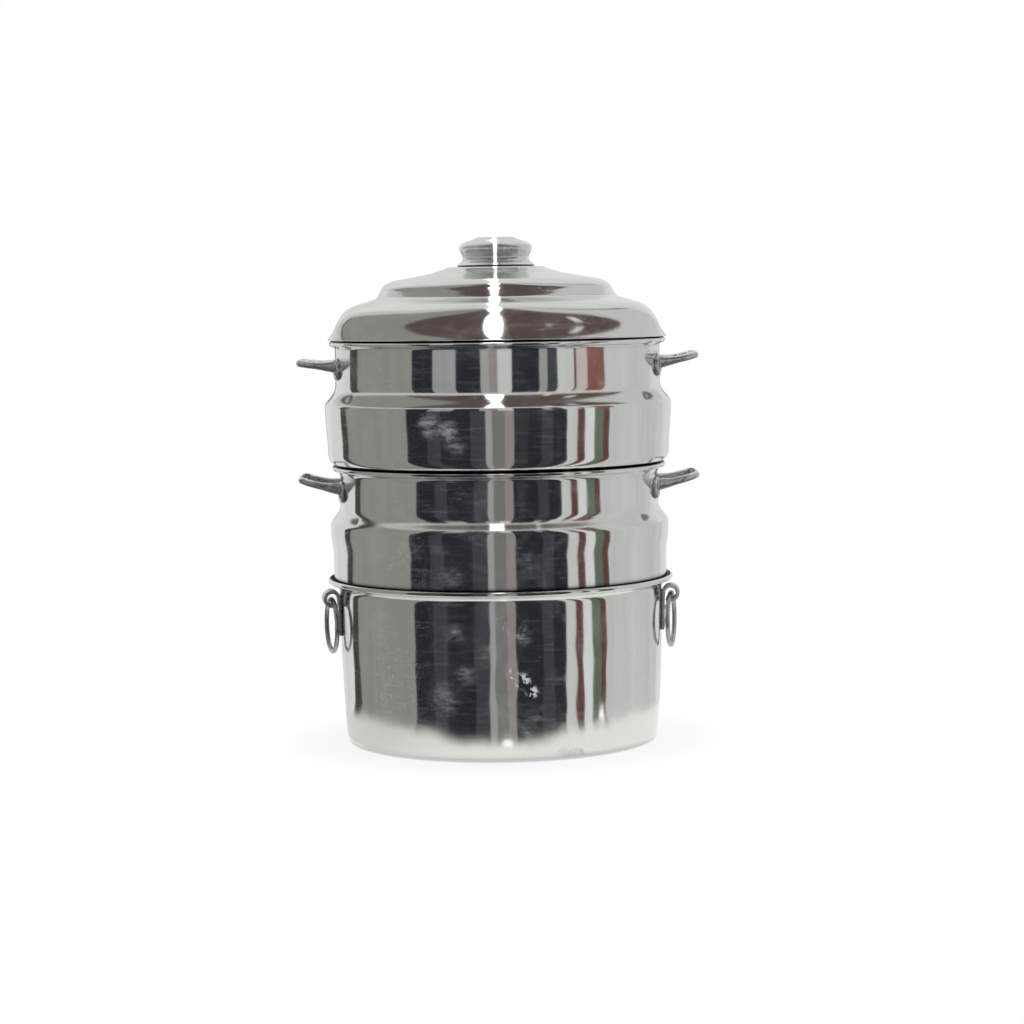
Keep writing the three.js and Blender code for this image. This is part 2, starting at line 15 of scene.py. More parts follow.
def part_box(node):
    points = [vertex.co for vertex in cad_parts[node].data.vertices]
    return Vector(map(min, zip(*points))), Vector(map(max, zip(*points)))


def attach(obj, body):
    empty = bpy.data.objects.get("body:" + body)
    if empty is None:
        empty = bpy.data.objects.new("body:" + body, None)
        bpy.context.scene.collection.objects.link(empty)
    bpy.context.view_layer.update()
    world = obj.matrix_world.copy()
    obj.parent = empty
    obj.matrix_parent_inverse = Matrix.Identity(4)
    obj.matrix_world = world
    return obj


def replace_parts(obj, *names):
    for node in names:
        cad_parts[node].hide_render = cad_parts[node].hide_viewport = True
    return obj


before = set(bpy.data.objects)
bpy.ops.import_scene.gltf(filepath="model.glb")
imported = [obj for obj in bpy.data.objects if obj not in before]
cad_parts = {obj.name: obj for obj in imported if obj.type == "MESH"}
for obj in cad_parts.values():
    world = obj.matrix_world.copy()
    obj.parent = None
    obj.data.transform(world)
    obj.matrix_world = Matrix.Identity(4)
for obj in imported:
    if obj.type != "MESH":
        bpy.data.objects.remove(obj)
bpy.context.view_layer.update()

bl_info = {
    "name": "Food steamer",
    "version": (1, 0, 0),
    "blender": (4, 5, 0),
    "location": "3D View > Sidebar > Steamer",
    "description": "Builds a stacking aluminium food steamer, its finishes and its studio",
    "category": "Object",
}

MM = 0.001


# Settings

def amount(description, default, **limits):
    """A property that holds a number."""
    return bpy.props.FloatProperty(description=description, default=default, **limits)


def length(description, millimetres):
    """A property that holds a length, with its default in millimetres."""
    limits = {"min": 0.0, "precision": 5, "unit": "LENGTH", "subtype": "DISTANCE"}
    return amount(description, millimetres * MM, **limits)


def share(description, default):
    """A property that holds a share of something."""
    return amount(description, default, soft_min=0.0, soft_max=1.0, precision=3)


def turn(description, degrees):
    """A property that holds an angle, with its default in degrees."""
    return amount(description, math.radians(degrees), subtype="ANGLE")


def count(description, default):
    """A property that holds a whole number."""
    return bpy.props.IntProperty(description=description, default=default, min=1)


def tint(description, *colour):
    """A property that holds a colour."""
    limits = {"min": 0.0, "max": 1.0, "size": 3, "subtype": "COLOR"}
    return bpy.props.FloatVectorProperty(description=description, default=colour, **limits)


class SheetSettings(bpy.types.PropertyGroup):
    """The spun sheet that the pot, the tiers and the lid share."""

    thickness: length("Thickness of the sheet", 1.2)
    segments: count("Segments round a turned piece", 192)
    outside_step: length("Longest stretch of an outside outline", 2.6)
    inside_step: length("Longest stretch of an inside or flat outline", 6.5)
    edge_radius: length("Rounding of the sheet's trimmed edges", 0.3)
    wobble: length("How far a hand-spun wall strays from round", 0.12)
    dents: length("Depth of the shallow dents in the pot's wall", 0.22)
    ripple: length("Height of the rings that the spinning tool leaves", 0.012)


class PotSettings(bpy.types.PropertyGroup):
    """Sizes of the water pot."""

    neck_radius: length("Outside of the wall under the rim", 153.4)
    draft: length("How far the base lies inside the neck", 5.2)
    rim_flare: length("How far the rim flares out from the neck", 8.4)
    bead_radius: length("Radius of the rolled edge", 2.3)
    corner_radius: length("Rounding between base and wall", 5.0)
    wall_height: length("Wall from the corner to the neck", 139.2)


# What each tier setting is, with the lower and the upper tier's defaults
TIER_FIELDS = {
    "nest_gap": (length, "Room round the spigot in the neck below", 2.1, 1.1),
    "corner_radius": (length, "Rounding between floor and wall", 8.0, 13.0),
    "wall_height": (length, "Straight wall over the corner", 20.9, 1.5),
    "taper_height": (length, "Wall that widens to the band", 22.8, 41.0),
    "band_step": (length, "How far the band stands out from the wall", 2.4, 2.3),
    "band_height": (length, "Straight band under the shoulder", 5.7, 2.1),
    "shoulder_step": (length, "How far the neck lies in the band", 9.5, 10.4),
    "shoulder_height": (length, "Curve from band to neck", 19.0, 21.9),
    "shoulder_skew": (share, "How far the curve leans to the neck", 1.2, 1.5),
    "neck_height": (length, "Straight neck under the rim", 28.4, 31.9),
    "rim_flare": (length, "How far the rim flares out from the neck", 4.7, 2.5),
    "bead_radius": (length, "Radius of the rolled edge", 2.3, 2.8),
    "pad_share": (share, "Height of the handle's pads up the neck", 0.5, 0.42),
    "handle_reach": (length, "How far the loop stands off the neck", 39.0, 36.4),
    "handle_rise": (length, "How far the loop climbs outwards", 5.2, 3.0),
}


class LowerTierSettings(bpy.types.PropertyGroup):
    """Sizes of the lower tier."""

    __annotations__ = {key: kind(text, low) for key, (kind, text, low, _) in TIER_FIELDS.items()}


class UpperTierSettings(bpy.types.PropertyGroup):
    """Sizes of the upper tier."""

    __annotations__ = {key: kind(text, up) for key, (kind, text, _, up) in TIER_FIELDS.items()}


class FloorSettings(bpy.types.PropertyGroup):
    """The perforated floor of a tier."""

    spigot_depth: length("How far the floor drops into the neck below", 5.0)
    hole_radius: length("Radius of a steam hole", 4.5)
    hole_pitch: length("Distance between two rings of holes", 28.0)
    hole_rings: count("Rings of holes round the middle one", 4)
    holes_per_ring: count("Holes that each ring has more than the last", 6)


class HandleSettings(bpy.types.PropertyGroup):
    """The cast loop handles of the tiers."""

    foot_spread: length("Distance of a foot from the handle's middle", 36.0)
    bar_radius: length("Radius of the loop's bar", 3.8)
    droop: length("How much lower the bar's roots sit than its straight line", 3.4)
    bent: length("How far the upper left handle is bent down at its bar", 3.0)
    bend_radius: length("Radius of the loop's corners", 13.0)
    root_lift: length("Height of the bar's root over its pad's middle", 6.0)
    pad_thickness: length("Thickness of a pad at its rivets", 3.0)
    pad_length: length("Half length of a pad", 11.5)
    pad_width: length("Half width of a pad", 9.0)
    pad_slant: turn("How far a pad leans outwards", 20.0)
    rivet_spread: length("Distance of a rivet from its pad's middle", 5.2)
    outer_rivet_drop: length("How far the outer rivet lies under the pad's middle", 3.2)
    inner_rivet_lift: length("How far the inner rivet lies over the pad's middle", 0.4)
    grain: length("Size of the cells that the casting is blended on", 0.55)


class RivetSettings(bpy.types.PropertyGroup):
    """The rivets of the handles and lugs."""

    shank_radius: length("Radius of the shank", 1.6)
    head_radius: length("Radius of the domed head", 2.6)
    head_height: length("Height of the domed head", 1.5)
    tail_radius: length("Radius of the hammered tail", 2.5)
    tail_height: length("Height of the hammered tail", 0.8)


class RingSettings(bpy.types.PropertyGroup):
    """The pot's ring handles and the strap lugs that they hang in."""

    ring_radius: length("Radius of the ring's middle line", 24.75)
    wire_radius: length("Radius of the ring's wire", 2.25)
    eye_radius: length("Outside radius of the lug's eye", 8.4)
    eye_bore: length("Radius of the eye's bore", 5.0)
    eye_drop: length("Depth of the eye under the pot's neck top", 5.0)
    width: length("Width of the strap", 18.0)
    plate_thickness: length("Thickness of the strap on the wall", 2.6)
    tail_length: length("Strap below the eye's middle", 35.0)
    first_rivet: length("Upper rivet below the eye's middle", 14.5)
    rivet_pitch: length("Distance between the two rivets", 13.0)
    right_azimuth: turn("Where the right lug sits round the pot", -5.0)
    left_azimuth: turn("Where the left lug sits round the pot", 189.0)
    twist: turn("How far a ring hangs turned about the upright, within its eye", 6.0)


class LidSettings(bpy.types.PropertyGroup):
    """Sizes of the lid."""

    overhang: length("How far the hem reaches past the rim below", 1.1)
    rim_edge: length("Height of the hem's upright edge", 0.8)
    collar_depth: length("How far the collar drops into the neck", 6.0)
    collar_gap: length("Room round the collar", 1.1)


class KnobSettings(bpy.types.PropertyGroup):
    """Sizes of the knob and of the screw, washer and nut that hold it."""

    radius: length("Radius of the knob's foot", 36.5)
    height: length("Height of the knob", 27.7)
    screw_radius: length("Radius of the screw's shank", 2.4)
    screw_head_radius: length("Radius of the screw's head", 4.6)
    screw_head_height: length("Height of the screw's head", 2.6)
    slot_width: length("Width of the screw's slot", 1.0)
    slot_depth: length("Depth of the screw's slot", 1.1)
    thread_pitch: length("Distance between two turns of the thread", 0.8)
    washer_radius: length("Radius of the washer", 8.5)
    washer_thickness: length("Thickness of the washer", 1.2)
    nut_radius: length("Half the nut's size across its corners", 4.6)
    nut_thickness: length("Thickness of the nut", 4.0)
    tip_length: length("How far the screw reaches past the nut", 1.5)


class FinishSettings(bpy.types.PropertyGroup):
    """Colours and wear of the metals."""

    polished: tint("Colour of the spun sheet", 0.80, 0.81, 0.80)
    cast: tint("Colour of the loop handles", 0.48, 0.49, 0.505)
    wire: tint("Colour of the ring handles", 0.4, 0.405, 0.415)
    strap: tint("Colour of the lugs", 0.46, 0.465, 0.475)
    rivets: tint("Colour of the rivets", 0.62, 0.62, 0.61)
    plated: tint("Colour of the screw, washer and nut", 0.56, 0.56, 0.54)
    gloss: share("Roughness of the cleanest polished sheet", 0.06)
    film: share("How far the handled patches lose their mirror", 0.17)
    brushing: share("How much rougher the brushed lines are", 0.07)
    haze: share("How much rougher the handled patches are", 0.16)
    scuffs: share("Strength of the scuffs and scratches", 0.8)


class StudioSettings(bpy.types.PropertyGroup):
    """The camera, the lamps, the floor and the tent that the metal reflects."""

    camera_distance: length("From the stack's axis to the camera", 2575.0)
    camera_height: length("Height of the camera over the floor", 417.0)
    lens: amount("Focal length on a 36 mm sensor", 95.3, unit="CAMERA")
    pitch: turn("How far the camera looks down", 4.45)
    pan: turn("How far the camera looks to the right of the axis", 0.264)
    roll: turn("How far the camera leans", 0.85)
    tent_radius: length("Radius of the reflected tent", 300.0)
    tent_shift: length("How much nearer the tent is in front", 55.0)
    tent_height: length("Height of the reflected tent", 900.0)
    tent_light: share("Strength of what the metal reflects", 1.0)
    lamp_power: amount("Power of the overhead soft lamp", 14.0, unit="POWER")


GROUPS = {
    "sheet": SheetSettings, "pot": PotSettings, "lower": LowerTierSettings,
    "upper": UpperTierSettings, "floor": FloorSettings, "handle": HandleSettings,
    "rivet": RivetSettings, "ring": RingSettings, "lid": LidSettings, "knob": KnobSettings,
    "finish": FinishSettings, "studio": StudioSettings,
}


def label(name):
    """A field's name as the panel shows it."""
    return name.replace("_", " ").capitalize()


# Each setting is named after its field
for group in GROUPS.values():
    for field, item in group.__annotations__.items():
        item.keywords["name"] = label(field)


class SteamerSettings(bpy.types.PropertyGroup):
    """All settings of the steamer, one group for each kind of piece."""

    __annotations__ = {
        key: bpy.props.PointerProperty(type=group, name=label(key)) for key, group in GROUPS.items()
    }


def settings():
    """The scene's settings."""
    return bpy.context.scene.steamer


# Profiles: points of radius and height, in a half plane through the stack's axis

SEAT_GAP = 0.3 * MM
BACK_GAP = 0.5 * SEAT_GAP
# Points of a line that are closer than this are one point
CLOSEST = 0.02 * MM
# The least share of the offset distance that a point of an offset line keeps from the line
OFFSET_KEPT = 0.97
# The longest arm of a rounded corner, as a share of the stretch beside it
ARM_SHARE = 0.45


def at(radius, height):
    """A point of a profile."""
    return Vector((radius, height))


def lerp(start, end, portion):
    """What lies at a portion of the way from start to end."""
    return start + (end - start) * portion


def ease(portion):
    """A smooth step from 0 to 1."""
    portion = min(max(portion, 0.0), 1.0)
    return portion * portion * (3 - 2 * portion)


def arc(radius, height, size, start, end, steps):
    """Points of an arc between two angles in degrees."""
    turns = [math.radians(lerp(start, end, i / steps)) for i in range(steps + 1)]
    return [at(radius + size * math.cos(a), height + size * math.sin(a)) for a in turns]


def bend(start, corner, end, steps):
    """Points of a smooth curve from start to end that leans towards a corner."""
    shares = [i / steps for i in range(steps + 1)]
    return [start.lerp(corner, s).lerp(corner.lerp(end, s), s) for s in shares]


def bow(start, end, shares, steps):
    """Points of a curve from start to end, bowed towards the corner that two shares place."""
    corner = at(lerp(start.x, end.x, shares[0]), lerp(start.y, end.y, shares[1]))
    return bend(start, corner, end, steps)


def spaced(line):
    """The line without the points that fall on the one before."""
    kept = [line[0]]
    for point in line[1:]:
        if (point - kept[-1]).length > CLOSEST:
            kept.append(point)
    return kept


def gap_to(point, start, end):
    """Distance from a point to a stretch of a line."""
    along = end - start
    reach = (point - start).dot(along) / along.length_squared
    return (start + along * min(max(reach, 0.0), 1.0) - point).length


def offset_line(line, distance):
    """The line at a distance to the left, without what a tight bend would fold over."""
    stretches = list(zip(line, line[1:]))
    ways = [(end - start).normalized() for start, end in stretches]
    normals = [at(-way.y, way.x) for way in ways]
    shifted = []
    for point, before, after in zip(line, normals[:1] + normals, normals + normals[-1:]):
        miter = (before + after).normalized()
        shifted.append(point + miter * (distance / miter.dot(after)))
    keep = abs(distance) * OFFSET_KEPT
    return [p for p in shifted if all(gap_to(p, a, b) > keep for a, b in stretches)]


def eased_corner(before, corner, after, arm, steps=4):
    """Points that round a corner off, with arms of the given length."""
    first = corner + (before - corner).normalized() * arm
    last = corner + (after - corner).normalized() * arm
    return bend(first, corner, last, steps)


def rounded(line, radius, sharper_than=25.0):
    """The line with its sharp corners rounded off."""
    points = [line[0]]
    for before, corner, after in zip(line, line[1:], line[2:]):
        shorter = min((corner - before).length, (after - corner).length)
        arm = min(radius, shorter * ARM_SHARE)
        sharp = math.degrees((corner - before).angle(after - corner)) > sharper_than
        points += eased_corner(before, corner, after, arm) if sharp else [corner]
    return points + [line[-1]]


def refined(line, step):
    """The line with no stretch longer than the step."""
    points = [line[0]]
    for start, end in zip(line, line[1:]):
        pieces = max(1, math.ceil((end - start).length / step))
        points += [start.lerp(end, (i + 1) / pieces) for i in range(pieces)]
    return points


def rim_of(sizes, neck_radius, neck_top):
    """The flared rim of a vessel: the centres of its two arcs, their sizes and its top."""
    rim = SimpleNamespace(flare=sizes.rim_flare, bead=sizes.bead_radius, flare_height=neck_top)
    rim.radius = neck_radius + rim.flare
    rim.bead_height = neck_top + rim.flare + rim.bead
    rim.top = rim.bead_height + rim.bead
    return rim


def rim_line(rim, sheet):
    """The rim's outline from the outside of the neck, round the bead, to its inside."""
    inner = rim.flare + sheet
    drop = rim.bead + rim.flare
    sine = (inner ** 2 - rim.bead ** 2 - drop ** 2) / (2 * rim.bead * drop)
    bead = arc(rim.radius, rim.bead_height, rim.bead, -90, 180 - math.degrees(math.asin(sine)), 22)
    lean = math.degrees(math.atan2(bead[-1].y - rim.flare_height, bead[-1].x - rim.radius))
    outside = arc(rim.radius, rim.flare_height, rim.flare, 180, 90, 8)
    inside = arc(rim.radius, rim.flare_height, inner, lean, 180, 6)
    return outside + bead[1:] + inside[1:]


def seat_on(rim, corner_radius, centre_radius):
    """Height of the centre of a round bottom corner that rests on a rim."""
    across = rim.radius - centre_radius

    def climb(size):
        return math.sqrt(max(0.0, (corner_radius + size + SEAT_GAP) ** 2 - across ** 2))

    on_flare = rim.flare_height + climb(rim.flare + settings().sheet.thickness)
    return max(rim.bead_height + climb(rim.bead), on_flare)


def pot_neck_top():
    """Height of the top of the pot's neck."""
    return settings().pot.corner_radius + settings().pot.wall_height


def pot_wall_radius(height):
    """Outside radius of the pot's wall at a height."""
    pot = settings().pot
    rest = 1 - (height - pot.corner_radius) / pot.wall_height
    return lerp(pot.neck_radius, pot.neck_radius - pot.draft, rest ** 2)


def pot_rim():
    """The pot's rim."""
    return rim_of(settings().pot, settings().pot.neck_radius, pot_neck_top())


def pot_outside():
    """The pot's outside from the middle of its base up to its neck."""
    pot = settings().pot
    corner, tall = pot.corner_radius, pot.wall_height
    steps = math.ceil(tall / settings().sheet.outside_step)
    line = [at(0, 0)] + arc(pot.neck_radius - pot.draft - corner, corner, corner, -90, 0, 10)
    for height in (corner + tall * (i + 1) / steps for i in range(steps)):
        line.append(at(pot_wall_radius(height), height))
    return line


def stack():
    """The two tiers with their radii, heights and seats, each on the rim below it."""
    neck, rim, base = settings().pot.neck_radius, pot_rim(), 0.0
    tiers = []
    for name in ("lower", "upper"):
        sizes = getattr(settings(), name)
        tier = SimpleNamespace(name=name, body=f"{name}_tier", sizes=sizes)
        tier.spigot = neck - settings().sheet.thickness - sizes.nest_gap
        tier.wall = tier.spigot + sizes.corner_radius
        tier.band = tier.wall + sizes.band_step
        tier.neck = neck = tier.band - sizes.shoulder_step
        tier.taper_bottom = sizes.corner_radius + sizes.wall_height
        tier.neck_bottom = tier.taper_bottom + sizes.taper_height + sizes.band_height
        tier.neck_bottom += sizes.shoulder_height
        tier.neck_top = tier.neck_bottom + sizes.neck_height
        base += seat_on(rim, sizes.corner_radius, tier.spigot) - sizes.corner_radius
        tier.seat = base
        tier.pads = base + (tier.neck_bottom + sizes.neck_height * sizes.pad_share)
        tier.foot = math.asin(settings().handle.foot_spread / neck)
        tier.rim = rim = rim_of(sizes, neck, tier.neck_top)
        tiers.append(tier)
    return tiers


# Rounding of a tier's outside, and the bend in degrees from which it is rounded
TIER_EDGE = 1.2 * MM
TIER_BEND = 50.0


def tier_outside(tier):
    """A tier's outside from the middle of its floor up to its neck."""
    sizes, spigot = tier.sizes, tier.spigot
    depth = settings().floor.spigot_depth
    line = [at(0, -depth), at(spigot, -depth), at(spigot, 0)]
    line += arc(spigot, sizes.corner_radius, sizes.corner_radius, -90, 0, 12)[1:]
    for i in range(9):
        height = tier.taper_bottom + sizes.taper_height * i / 8
        line.append(at(lerp(tier.wall, tier.band, ease(i / 8)), height))
    for i in range(19):
        rest = 1 - i / 18
        height = tier.neck_bottom - sizes.shoulder_height * rest
        line.append(at(lerp(tier.neck, tier.band, ease(rest ** sizes.shoulder_skew)), height))
    return rounded(spaced(line + [at(tier.neck, tier.neck_top)]), TIER_EDGE, TIER_BEND)


def vessel_outline(outside, rim):
    """The closed outline of a vessel's sheet, from axis to axis."""
    sheet = settings().sheet
    inside = offset_line(refined(spaced(outside), sheet.inside_step), sheet.thickness)
    lining = refined(inside[::-1], sheet.inside_step)
    skin = refined(outside, sheet.outside_step)
    return spaced(skin + rim_line(rim, sheet.thickness)[1:] + lining[1:])


# The lid's corners from the throat up: share of the hem's radius, and rise from the one below
LID_CORNERS = {
    "throat": (0.954375, 12.9 * MM),
    "dome": (0.83125, 20.0 * MM),
    "step": (0.71375, 5.6 * MM),
    "riser": (0.684375, 7.5 * MM),
    "crown": (0.585, 9.7 * MM),
    "cone": (0.38875, 5.6 * MM),
    "top": (0.296875, 5.8 * MM),
}
# Where the bowed stretches bend, as shares of their radius and height spans
THROAT_BOW = (0.62, 0.42)
DOME_BOW = (0.31, 0.8)
CROWN_BOW = (0.16, 0.75)
COLLAR_TOP_SHARE = 0.3
# Roundings of the lid's crown and of its other corners, and the bend that calls for one
CROWN_EDGE = 3.0 * MM
LID_EDGE = 1.6 * MM
LID_BEND = 18.0


def lid_seat():
    """Height of the lid's hem over the floor."""
    upper = stack()[-1]
    return upper.seat + upper.rim.top + SEAT_GAP


def lid_corners():
    """The lid's corners by name, from the underside of its hem."""
    rim = stack()[-1].rim
    hem = rim.radius + rim.bead + settings().lid.overhang
    corners = SimpleNamespace(hem=at(hem, 0.0))
    height = 0.0
    for name, (portion, rise) in LID_CORNERS.items():
        height += rise
        setattr(corners, name, at(hem * portion, height))
    return corners


def lid_outline():
    """The closed outline of the lid's sheet, with its collar and its screw hole."""
    sheet, lid, rim = settings().sheet, settings().lid, stack()[-1].rim
    thick = sheet.thickness
    corner = lid_corners()
    top = corner.top
    skin = bow(corner.throat, corner.dome, DOME_BOW, 22) + [corner.step]
    skin += bow(corner.riser, corner.crown, CROWN_BOW, 16)
    skin += eased_corner(corner.crown, corner.cone, top, CROWN_EDGE)
    skin += [at(top.x, top.y - thick), at(top.x - thick, top.y), at(screw_bore(), top.y)]
    skin = rounded(spaced(skin), LID_EDGE, LID_BEND)
    outer = rim.radius - rim.flare - thick - lid.collar_gap
    inner = outer - thick
    coarse = refined(skin, sheet.inside_step)
    under = [p for p in offset_line(coarse, thick) if p.x < inner - thick]
    collar_top = lerp(corner.throat.y, under[0].y, COLLAR_TOP_SHARE)
    collar_foot = at(outer, -lid.collar_depth)
    throat = bow(at(corner.hem.x, lid.rim_edge), corner.throat, THROAT_BOW, 9)
    hem = rounded([collar_foot, at(outer, 0), corner.hem, *throat[:-1]], sheet.edge_radius)
    collar = [at(inner, collar_top), at(inner, -lid.collar_depth), collar_foot]
    lining = refined(under[::-1] + collar, sheet.inside_step)
    return spaced(refined(hem + skin, sheet.outside_step) + lining)[:-1]


def screw_bore():
    """Radius of the holes that the knob's screw goes through."""
    return settings().knob.screw_radius + SEAT_GAP


# The knob's outside from its foot to its dish, as shares of its radius and height
KNOB_SHARES = (
    (1.0, 0.05), (0.95, 0.12), (0.88, 0.2), (0.858, 0.3), (0.882, 0.4), (0.942, 0.6), (0.92, 0.73),
    (0.81, 0.83), (0.6, 0.92), (0.47, 1.0), (0.37, 0.93), (0.24, 0.81), (0.15, 0.79),
)


# Longest stretches of the knob's outline, outside and inside
KNOB_STEP = 2 * MM
KNOB_INSIDE_STEP = 3 * MM


def spline(points, steps):
    """A smooth line through the points."""
    around = [points[0] * 2 - points[1], *points, points[-1] * 2 - points[-2]]
    line = []
    for before, start, end, after in zip(around, around[1:], around[2:], around[3:]):
        for t in (i / steps for i in range(steps)):
            bent = 2 * start + (end - before) * t
            bent += (2 * before - 5 * start + 4 * end - after) * t ** 2
            bent += (3 * start - before - 3 * end + after) * t ** 3
            line.append(bent / 2)
    return line + [points[-1]]


def knob_outline():
    """The closed outline of the hollow knob, from the underside of its foot."""
    knob = settings().knob
    sheet = settings().sheet.thickness
    points = [at(knob.radius * a, knob.height * b) for a, b in KNOB_SHARES]
    skin = spaced(spline(points, 5) + [at(screw_bore(), points[-1].y)])
    under = [p for p in offset_line(skin, sheet) if p.y > sheet]
    inside = under[::-1] + [at(under[0].x, 0)]
    skin = refined(skin, KNOB_STEP)
    return spaced([at(knob.radius, 0)] + skin + refined(inside, KNOB_INSIDE_STEP))


# Node trees

def operation(name, turned=False):
    """A method that adds one Math node on a value and what it is worked out with."""

    def method(self, *others):
        values = (self, *others)
        values = values[::-1] if turned else values
        return self.nodes.make("ShaderNodeMath", *values, operation=name)

    return method


class Value:
    """The socket of a number, on which sums are written as plain expressions."""

    def __init__(self, nodes, socket):
        self.nodes = nodes
        self.socket = socket

    __add__ = __radd__ = operation("ADD")
    __mul__ = __rmul__ = operation("MULTIPLY")
    __sub__ = operation("SUBTRACT")
    __rsub__ = operation("SUBTRACT", True)
    __truediv__ = operation("DIVIDE")
    __rtruediv__ = operation("DIVIDE", True)
    __pow__ = operation("POWER")
    __abs__ = operation("ABSOLUTE")
    least = operation("MINIMUM")
    most = operation("MAXIMUM")
    bearing = operation("ARCTAN2")

    def step(self, start, end):
        """0 below start and 1 above end, or the other way round, with a smooth change."""
        smooth = "SMOOTHSTEP"
        return self.nodes.make("ShaderNodeMapRange", self, start, end, interpolation_type=smooth)


class Nodes:
    """A node tree that nodes are added to."""

    def __init__(self, tree):
        self.tree = tree

    def make(self, kind, *values, output=0, **named):
        """Adds a node: first its settings, named in small letters, and then its sockets.

        Values go to the first sockets in turn, and the rest are named by name or identifier.
        """
        node = self.tree.nodes.new(kind)
        for name, value in named.items():
            if name == "stops":
                set_stops(node.color_ramp, value)
            elif name.islower():
                setattr(node, name, value)
        for socket, value in zip(node.inputs, values):
            self.feed(socket, value)
        for name, value in named.items():
            if not name.islower():
                fits = (s for s in node.inputs if name in (s.identifier, s.name.replace(" ", "_")))
                self.feed(next(fits), value)
        return Value(self, node.outputs[output]) if node.outputs else node

    def feed(self, socket, value):
        """Links or sets one input. A list links several values to it."""
        for part in value if isinstance(value, list) else [value]:
            if isinstance(part, Value):
                self.tree.links.new(part.socket, socket)
            else:
                socket.default_value = (*part, 1.0) if socket.type == "RGBA" else part

    def vector(self, x=0.0, y=0.0, z=0.0):
        """A vector from its three numbers."""
        return self.make("ShaderNodeCombineXYZ", x, y, z)

    def split(self, vector):
        """The three numbers of a vector."""
        parts = self.make("ShaderNodeSeparateXYZ", vector).socket.node.outputs
        return [Value(self, part) for part in parts]

    def away(self, vector, place):
        """Distance from a vector to a place."""
        kind = "ShaderNodeVectorMath"
        return self.make(kind, vector, place, output="Value", operation="DISTANCE")

    def noise(self, vector, scale, detail=2.0, rough=0.5, twist=0.0):
        """Cloudy noise, and how detailed, rough and twisted it is."""
        look = {"Scale": scale, "Detail": detail, "Roughness": rough, "Distortion": twist}
        return self.make("ShaderNodeTexNoise", Vector=vector, **look)

    def cells(self, vector, scale):
        """Distance to the nearest of many scattered points."""
        return self.make("ShaderNodeTexVoronoi", Vector=vector, Scale=scale)

    def blend(self, factor, first, second, way="MIX"):
        """A mix of two colours."""
        options = {"data_type": "RGBA", "blend_type": way, "output": 2}
        return self.make("ShaderNodeMix", factor, A_Color=first, B_Color=second, **options)

    def grey(self, value):
        """A grey as light as a number."""
        return self.make("ShaderNodeCombineColor", value, value, value)

    def shade(self, colour, value):
        """A colour made lighter or darker by a number."""
        return self.blend(1.0, colour, self.grey(value), "MULTIPLY")


def set_stops(ramp, stops):
    """Gives a colour ramp its stops, each a place and a colour that holds up to the next."""
    ramp.interpolation = "CONSTANT"
    ramp.elements.remove(ramp.elements[-1])
    for i, (place, colour) in enumerate(stops):
        element = ramp.elements[0] if i == 0 else ramp.elements.new(place)
        element.position = place
        element.color = (*colour, 1.0)


# Finishes

class Surface(Nodes):
    """A material, with the place on the piece that its patterns follow."""

    def __init__(self, name):
        self.material = bpy.data.materials.new(name)
        self.material.use_nodes = True
        super().__init__(self.material.node_tree)
        self.tree.nodes.clear()
        self.place = self.make("ShaderNodeTexCoord", output="Object")

    def crevices(self, reach, shallow=0.66, deep=0.3):
        """How much painted shade a place gets, from ambient occlusion: 1 deep in the seams and
        corners of the piece, 0 where it is open.
        """
        open_part = self.make("ShaderNodeAmbientOcclusion", Distance=reach, output="AO")
        return open_part.step(shallow, deep)

    def shown(self, shader):
        """Ends the material in a shader."""
        self.make("ShaderNodeOutputMaterial", shader)
        return self.material

    def metal(self, colour, roughness, height, **fixed):
        """Ends the material in a metal of that colour and roughness, with a height pattern in mm."""
        bump = self.make("ShaderNodeBump", Height=height, Distance=MM, Strength=1.0)
        look = {"Base_Color": colour, "Metallic": 1.0, "Roughness": roughness, "Normal": bump}
        return self.shown(self.make("ShaderNodeBsdfPrincipled", **(look | fixed)))


def material(name, make, *details):
    """The material of that name, made when it is first asked for."""
    return bpy.data.materials.get(name) or make(Surface(name), *details)


# Marks on the pot's front: the middle and the reach of each scuff and of the water stain
SCUFF_PLACES = (
    ((0.0095, -0.153, 0.081), 7 * MM),
    ((0.0190, -0.152, 0.075), 10 * MM),
    ((0.0272, -0.150, 0.065), 8 * MM),
)
STAIN_PLACE = (0.072, -0.129, 0.009)
STAIN_REACH = 36 * MM
# Dull patches: the middle and the reach of each, and its strength
POT_PLACES = (
    ((-0.0415, -0.147, 0.119), 13 * MM, 1.2),
    ((0.019, -0.152, 0.116), 12 * MM, 1.3),
    ((-0.052, -0.143, 0.060), 22 * MM, 1.0),
    ((-0.033, -0.149, 0.081), 15 * MM, 1.1),
    ((-0.012, -0.152, 0.098), 16 * MM, 0.8),
    ((0.030, -0.150, 0.040), 18 * MM, 0.6),
)
TIER_PLACES = (
    ((-0.062, -0.152, 0.306), 15 * MM, 2.6),
    ((-0.047, -0.156, 0.302), 16 * MM, 2.4),
    ((-0.040, -0.158, 0.289), 15 * MM, 1.2),
    ((0.021, -0.158, 0.182), 16 * MM, 0.7),
    ((-0.045, -0.152, 0.170), 18 * MM, 0.8),
)


